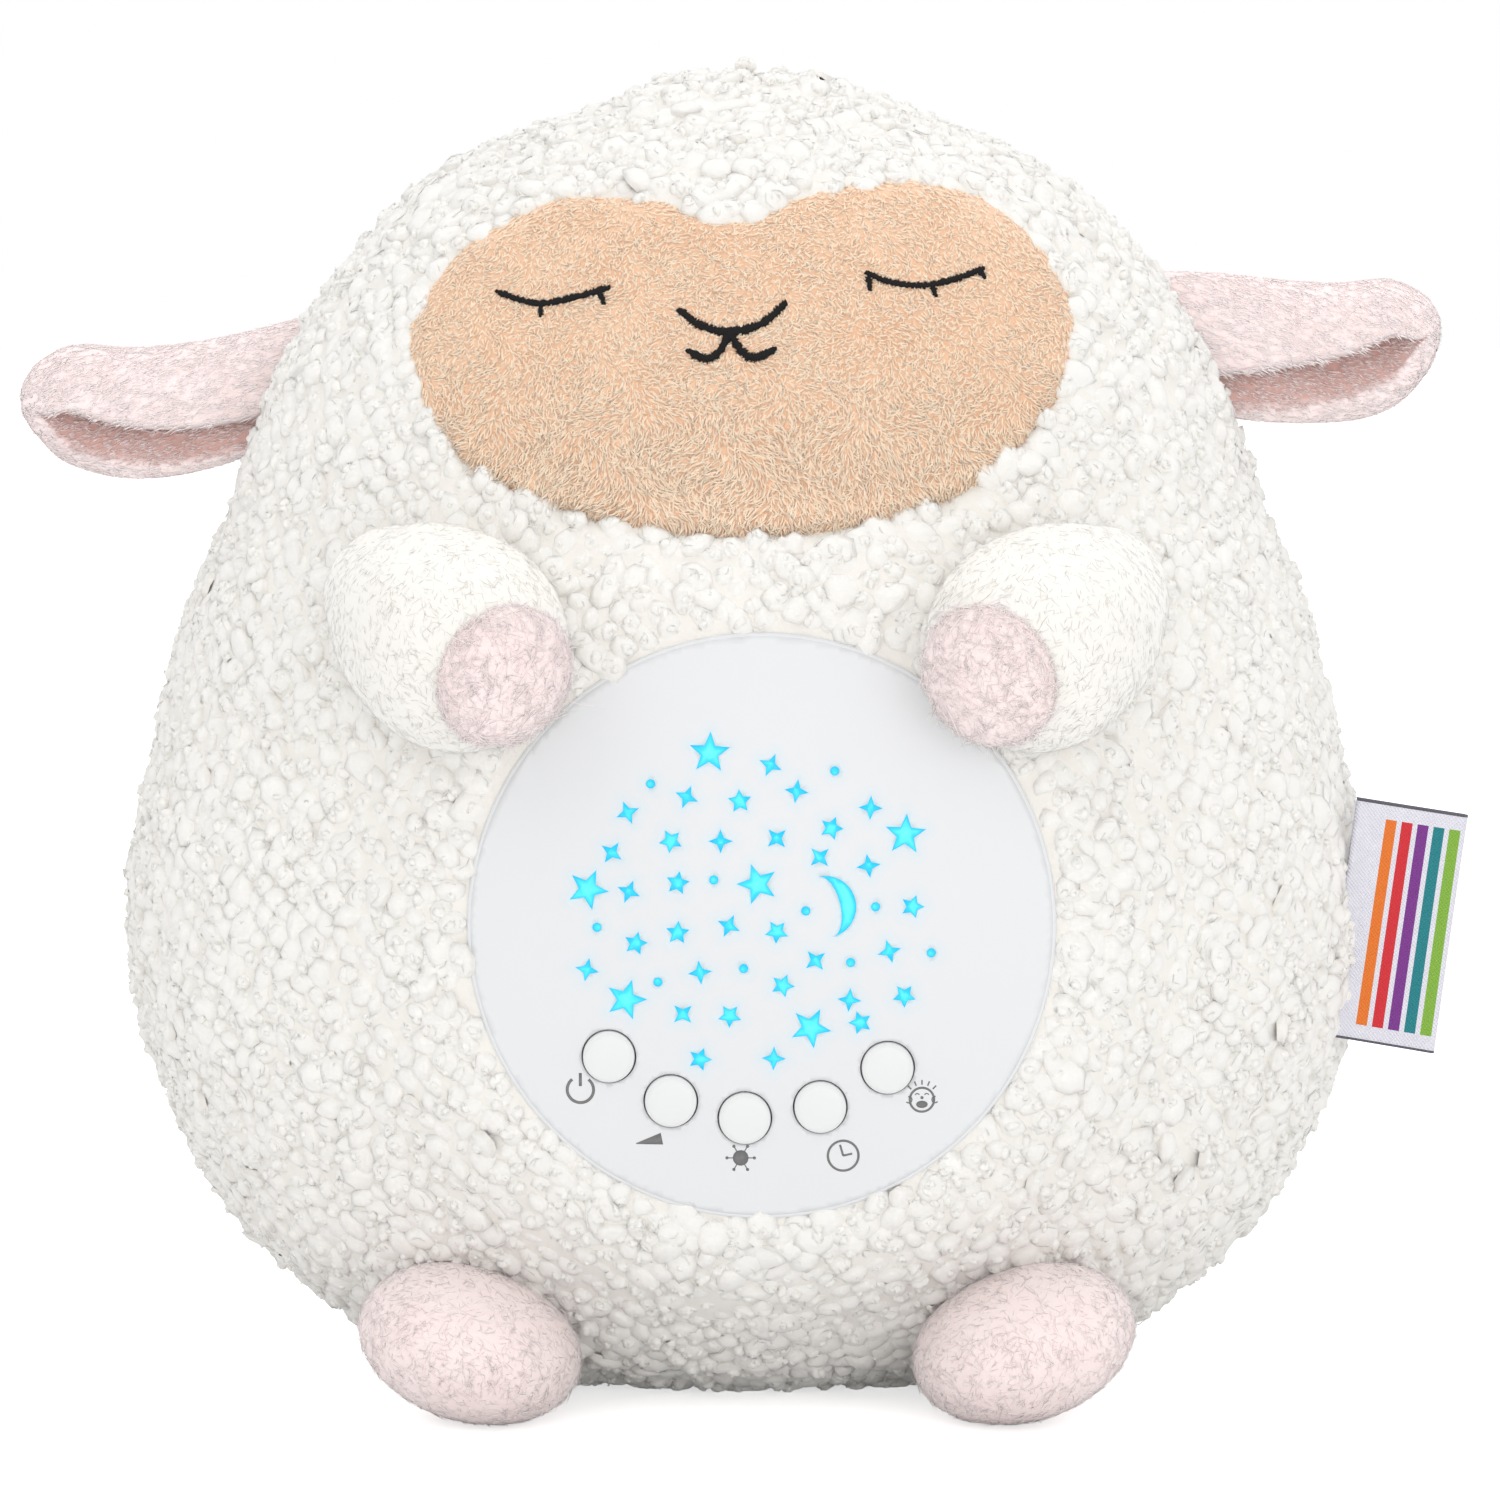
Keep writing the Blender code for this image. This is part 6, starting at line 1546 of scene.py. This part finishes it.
def make_symbols():
    """The grey signs under the buttons, printed as thin bands: power, volume, lamp, clock, crying face."""
    finish = mottled_finish(
        "grey_print", 0.5, linear((98, 98, 98)), linear((124, 124, 124)), (900, 2), (0.00002, 0.2),
    )
    line = 0.00028
    at = {name: np.array(place) * PANEL_RADIUS for name, place in SYMBOLS.items()}
    bar = at["power"] + np.array([(0, 0.0007), (0, 0.0032)])
    parts = [band(arc(at["power"], 0.0025, 128, 412), line), band(bar, line)]
    wedge = at["volume"] + np.array([(-0.0027, -0.0009), (0.0022, 0.0001)])
    parts.append(band(np.linspace(wedge[0], wedge[1], 12), np.linspace(0.00008, 0.00115, 12)))
    parts.append(spot(at["light"], 0.0015))
    for turn in range(0, 360, 60):
        parts.append(band(at["light"] + bearing(turn) * np.linspace(0.0014, 0.0025, 4)[:, None], 0.0001))
        parts.append(spot(at["light"] + bearing(turn) * 0.0026, 0.0003))
    parts.append(band(arc(at["timer"], 0.0029, 0, 359.9, 64), line * 0.8))
    for end in ((-0.0006, 0.0021), (0.0017, 0.0004)):
        parts.append(band(np.linspace(at["timer"], at["timer"] + np.array(end), 4), line * 0.7))
    parts.append(band(arc(at["sound"], 0.0023, 0, 359.9, 56), line * 0.75))
    parts.append(spot(at["sound"] + (0, -0.0009), 0.0011, 0.0007))
    parts.append(spot(at["sound"] + (0, 0.0004), 0.0003))
    for way in (-1, 1):
        parts.append(band(arc(at["sound"] + (way * 0.0009, 0.0008), 0.0004, 20, 160, 10), 0.0001))
        side_of_face = arc(at["sound"] + (way * 0.0025, 0), 0.0006, 90 - way * 130, 90 - way * 370, 14)
        parts.append(band(side_of_face[::-1], 0.00012))
    for turn in (45, 68, 90, 112, 135):
        parts.append(band(at["sound"] + bearing(turn) * np.linspace(0.0029, 0.0038, 4)[:, None], 0.00014))
    add_piece("panel_signs", "body", finish.material, *joined(parts), slot="black_plastic")


def tag_finish():
    """Woven stripes over the strip's own lengths in metres: twill and ribs, five colours and a grey edge."""
    finish = Finish("woven_stripes", linear((226, 222, 236)), 0.65, sheen_weight=0.2, sheen_roughness=0.4)
    shade = finish.shade
    across = shade.node("SeparateXYZ", {}, {0: shade.node("UVMap", {"uv_map": "weave"}, {})})
    up = across.other(1)
    off_middle = shade.maths("ABSOLUTE", up - 0.5 * TAG_HEIGHT)
    in_height = shade.maths("LESS_THAN", off_middle, STRIPE_HALF_HEIGHT)
    colour = finish.noise(500, 2).mix(linear((222, 221, 233)), linear((238, 237, 245)))
    for number, stripe in enumerate(STRIPE_COLOURS):
        off_stripe = shade.maths("ABSOLUTE", across - (STRIPE_START + number * STRIPE_STEP))
        inside = shade.maths("LESS_THAN", off_stripe, STRIPE_HALF_WIDTH) * in_height
        colour = inside.mix(colour, linear(stripe))
    edge = shade.maths("GREATER_THAN", off_middle, 0.5 * TAG_HEIGHT - TAG_EDGE_LINE)
    colour = edge.mix(colour, linear((96, 92, 104)))
    twill = shade.maths("SINE", (across + up) * (TWILL_REPEATS * math.tau))
    rib = shade.maths("SINE", up * (RIB_REPEATS * math.tau))
    # Painted shade: the colour is darker along the twill's grooves
    light = 1.02 - (twill * 0.5 + 0.5) * 0.14
    finish.set("Base Color", shade.node("VectorMath", {"operation": "SCALE"}, {0: colour, "Scale": light}))
    finish.bump(twill + rib * 0.5, 0.00008, 0.7)
    return finish.material


def make_tag():
    """The woven side tag: a folded strip, a path with a half-round fold carried over its height."""
    reach = TAG_OPENING / 2 + TAG_PLY / 2
    straight = np.linspace(TAG_PATH_START, TAG_WIDTH - reach - TAG_PLY / 2, 24)
    turns = np.linspace(-math.pi / 2, math.pi / 2, 16)[1:-1]
    path = np.concatenate([
        np.stack([straight, np.full(24, -reach)], axis=-1),
        np.stack([straight[-1] + reach * np.cos(turns), reach * np.sin(turns)], axis=-1),
        np.stack([straight[::-1], np.full(24, reach)], axis=-1),
    ])
    ahead = unit(np.gradient(path, axis=0))
    outward = np.stack([ahead[:, 1], -ahead[:, 0]], axis=-1) * TAG_PLY / 2
    loop = np.concatenate([path + outward, (path - outward)[::-1]])
    travelled = np.concatenate([[0], np.cumsum(np.linalg.norm(np.diff(path, axis=0), axis=1))])
    place = np.concatenate([travelled, travelled[::-1]])
    rows, count = 40, len(loop)
    height = np.linspace(-0.5, 0.5, rows)[:, None] * TAG_HEIGHT
    bend = TAG_BEND * (loop[:, 0] / TAG_WIDTH) ** 2 * np.sin((height / TAG_HEIGHT + 0.25) * 2.6)
    local = np.stack([
        loop[None, :, 0] + 0 * height, loop[None, :, 1] + bend,
        height - TAG_SAG * loop[None, :, 0] / TAG_WIDTH,
    ], axis=-1)
    sewn_x = side_x(TAG_Y, TAG_Z) - TAG_SEWN_DEPTH
    tilt = Matrix.Rotation(math.radians(TAG_TILT_DEG), 4, "Y")
    points = moved(local.reshape(-1, 3), Matrix.Translation((sewn_x, TAG_Y, TAG_Z + TAG_RAISE)) @ tilt)
    ends = np.arange(count // 2 - 1)
    bottom = np.stack([ends, count - 1 - ends, count - 2 - ends, ends + 1], axis=-1)
    top = bottom[:, ::-1] + (rows - 1) * count
    uv = np.stack(np.broadcast_arrays(place, height + TAG_HEIGHT / 2), axis=-1)
    tag = add_piece(
        "stripe_tag", "body", tag_finish(), points, [grid_faces(rows, count, wrap=True), bottom, top],
        ["side_tag"], "woven_label", uv=uv, uv_name="weave",
    )


def make_inside():
    """Finishes for the pieces inside the body that keep their packed shapes."""
    shell = plastic_finish("moulded_shell", (236, 236, 234), 0.45, 0.3)
    gloss = plastic_finish("gloss_white", (250, 250, 250), 0.22, 0.05)
    black = plastic_finish("black_moulding", (24, 24, 25), 0.5, 0.3)
    rubber = plastic_finish("silicone_rubber", (214, 214, 210), 0.7, 0.5)
    metal = Finish("plated_steel", (0.55, 0.55, 0.57), 0.3, metallic=1.0)
    metal.set("Roughness", metal.noise(400, 3, 0.6) * 0.25 + 0.2)
    metal.bump(metal.noise(900, 3), 0.00003, 0.3)
    steel = metal.material
    board = Finish("solder_mask", (0.01, 0.14, 0.045), 0.4)
    tracks = board.noise(420, 0, 0.5, 3)
    board.set("Base Color", tracks.ramp((0.46, (0.01, 0.13, 0.04)), (0.5, (0.02, 0.24, 0.08))))
    board.bump(tracks, 0.00005, 0.5)
    paper = mottled_finish(
        "speaker_paper", 0.85, (0.012, 0.012, 0.013), (0.05, 0.05, 0.052), (1500, 3, 0.7), (0.0002, 0.6),
    ).material
    cell = mottled_finish(
        "cell_sleeve", 0.35, (0.04, 0.14, 0.07), (0.06, 0.19, 0.10), (40, 2), (0.00003, 0.3), (900, 2),
        coat_weight=0.3,
    ).material
    cable = mottled_finish(
        "red_insulation", 0.45, (0.36, 0.015, 0.015), (0.52, 0.03, 0.03), (200, 2), (0.00005, 0.4), (1200, 2),
    ).material
    lens = Finish("clear_lens", (0.72, 0.88, 0.95), 0.12, transmission_weight=0.6, ior=1.5)
    lens.set("Base Color", lens.noise(300, 1).mix((0.66, 0.84, 0.93), (0.80, 0.93, 0.98)))
    finishes = {
        "reflector": gloss, "keypad": rubber, "main_board": board.material, "led": lens.material,
        "microphone": steel, "control_chip": black, "lead_plug": gloss, "clamp_ring": shell,
        "rear_housing": shell, "housing_screw": steel, "speaker_frame": steel, "speaker_cone": paper,
        "speaker_magnet": steel, "speaker_lead": cable, "battery_case": shell, "battery_door": shell,
        "door_screw": steel, "battery_1": cell, "battery_2": cell, "battery_3": cell, "contact_strip": steel,
        "battery_lead": cable,
    }
    for name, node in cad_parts.items():
        for start, finish in finishes.items():
            if name.startswith(start):
                for slot in node.material_slots:
                    slot.material = finish


def add_light(name, place, size, power, target=(0, 0, 0.12)):
    """A square soft lamp that faces the lamb."""
    lamp = bpy.data.lights.new(name, "AREA")
    lamp.size, lamp.energy = size, power
    item = bpy.data.objects.new(name, lamp)
    item.location = place
    item.rotation_euler = (Vector(target) - Vector(place)).to_track_quat("-Z", "Y").to_euler()
    bpy.context.scene.collection.objects.link(item)


def make_floor():
    """A white floor that looks white to the camera and to reflections, and keeps the lamb's shadow."""
    finish = Finish("white_floor", (0.9, 0.9, 0.9), 0.8, specular_ior_level=0.1)
    finish.set("Base Color", finish.noise(3, 2).mix((0.89, 0.89, 0.89), (0.91, 0.91, 0.91)))
    path = finish.shade.node("LightPath", {}, {})
    seen = finish.shade.maths("MAXIMUM", path, path.other("Is Glossy Ray"))
    finish.set("Emission Color", seen.mix((0, 0, 0), (1, 1, 1)))
    finish.set("Emission Strength", FLOOR_GLOW)
    x, y = np.meshgrid(np.linspace(-4, 4, 3), np.linspace(-4, 6, 3))
    mesh = bpy.data.meshes.new("floor")
    mesh.from_pydata(np.stack([x, y, 0 * x], axis=-1).reshape(-1, 3).tolist(), [], grid_faces(3, 3).tolist())
    mesh.materials.append(finish.material)
    floor = bpy.data.objects.new("floor", mesh)
    bpy.context.scene.collection.objects.link(floor)


def make_stage():
    """White floor and world, soft lamps, and the camera at the photograph's angle."""
    make_floor()
    scene = bpy.context.scene
    settings = scene.lamb_stage
    scene.world = world = bpy.data.worlds.new("studio")
    world.use_nodes = True
    shade = Shade(world.node_tree)
    path = shade.node("LightPath", {}, {})
    backdrop = world.node_tree.nodes["Background"]
    backdrop.inputs["Color"].default_value = (1, 1, 1, 1)
    seen = shade.maths("MAXIMUM", path, path.other("Is Glossy Ray"))
    strength = seen * (1 - WORLD_LIGHT) + WORLD_LIGHT
    world.node_tree.links.new(strength.socket, backdrop.inputs["Strength"])
    for lamp in LAMPS:
        add_light(*lamp)
    target = Vector(CAMERA_TARGET)
    away = Vector((0, -math.cos(settings.elevation), math.sin(settings.elevation))) * settings.distance
    lens = bpy.data.cameras.new("camera")
    lens.lens, lens.sensor_width, lens.clip_end = settings.lens, 36, 20
    camera = bpy.data.objects.new("camera", lens)
    camera.location = target + away
    camera.rotation_euler = (-away).to_track_quat("-Z", "Y").to_euler()
    scene.collection.objects.link(camera)
    scene.camera = camera
    scene.view_settings.view_transform = "Standard"


# Operators


def operator(idname, label, words, *makers):
    """An operator that runs the makers of one piece or group of pieces."""

    def execute(self, context):
        for maker in makers:
            maker()
        return {"FINISHED"}

    fields = {"bl_idname": f"lamb.{idname}", "bl_label": label, "__doc__": words, "execute": execute}
    return type(f"LAMB_OT_{idname}", (bpy.types.Operator,), fields)


OPERATORS = [
    operator("stage", "Stage", "Adds the floor, the lamps and the camera", make_stage),
    operator("coat", "Fleece coat", "Builds the body's curly fleece", make_coat),
    operator("flap", "Back flap", "Builds the flap, its bed and tapes", make_flap, make_flap_bed, make_tapes),
    operator("fill", "Filling", "Builds the fibre filling", make_fill),
    operator("face", "Face patch", "Builds the tan face patch", make_face),
    operator("embroidery", "Embroidery", "Stitches the eyes, nose and mouth", make_embroidery),
    operator("ears", "Ears", "Builds both ears", make_ears),
    operator("arms", "Arms", "Builds both arms and their paw ends", make_arms),
    operator("feet", "Feet", "Builds both feet", make_feet),
    operator("panel", "Panel", "Builds the star-light panel and its windows", make_panel),
    operator("buttons", "Buttons", "Builds the five buttons", make_buttons),
    operator("signs", "Signs", "Prints the signs of the buttons", make_symbols),
    operator("tag", "Side tag", "Builds the woven side tag", make_tag),
    operator("inside", "Inside", "Finishes the pieces inside the body", make_inside),
]


class LAMB_PT_pieces(bpy.types.Panel):
    """Settings and pieces of the plush night light."""

    bl_idname = "LAMB_PT_pieces"
    bl_label = "Plush night light"
    bl_space_type = "VIEW_3D"
    bl_region_type = "UI"
    bl_category = "Lamb"

    def draw(self, context):
        for key in GROUPS:
            box = self.layout.box()
            group = getattr(context.scene, key)
            for name in group.__annotations__:
                box.prop(group, name)
        for made in OPERATORS:
            self.layout.operator(made.bl_idname)


GROUPS = {
    "lamb_fleece": LAMB_PG_fleece,
    "lamb_plush": LAMB_PG_plush,
    "lamb_panel": LAMB_PG_panel,
    "lamb_stage": LAMB_PG_stage,
}


def register():
    """Registers the settings, the operators and the panel."""
    for key, group in GROUPS.items():
        bpy.utils.register_class(group)
        setattr(bpy.types.Scene, key, bpy.props.PointerProperty(type=group))
    for made in [*OPERATORS, LAMB_PT_pieces]:
        bpy.utils.register_class(made)


def unregister():
    """Takes them away again."""
    for made in [LAMB_PT_pieces, *reversed(OPERATORS)]:
        bpy.utils.unregister_class(made)
    for key, group in GROUPS.items():
        delattr(bpy.types.Scene, key)
        bpy.utils.unregister_class(group)


def main():
    """Registers the add-on, builds every piece and writes the two boxes."""
    register()
    for made in OPERATORS:
        getattr(bpy.ops.lamb, made.bl_idname.split(".")[1])()


if __name__ == "__main__":
    main()
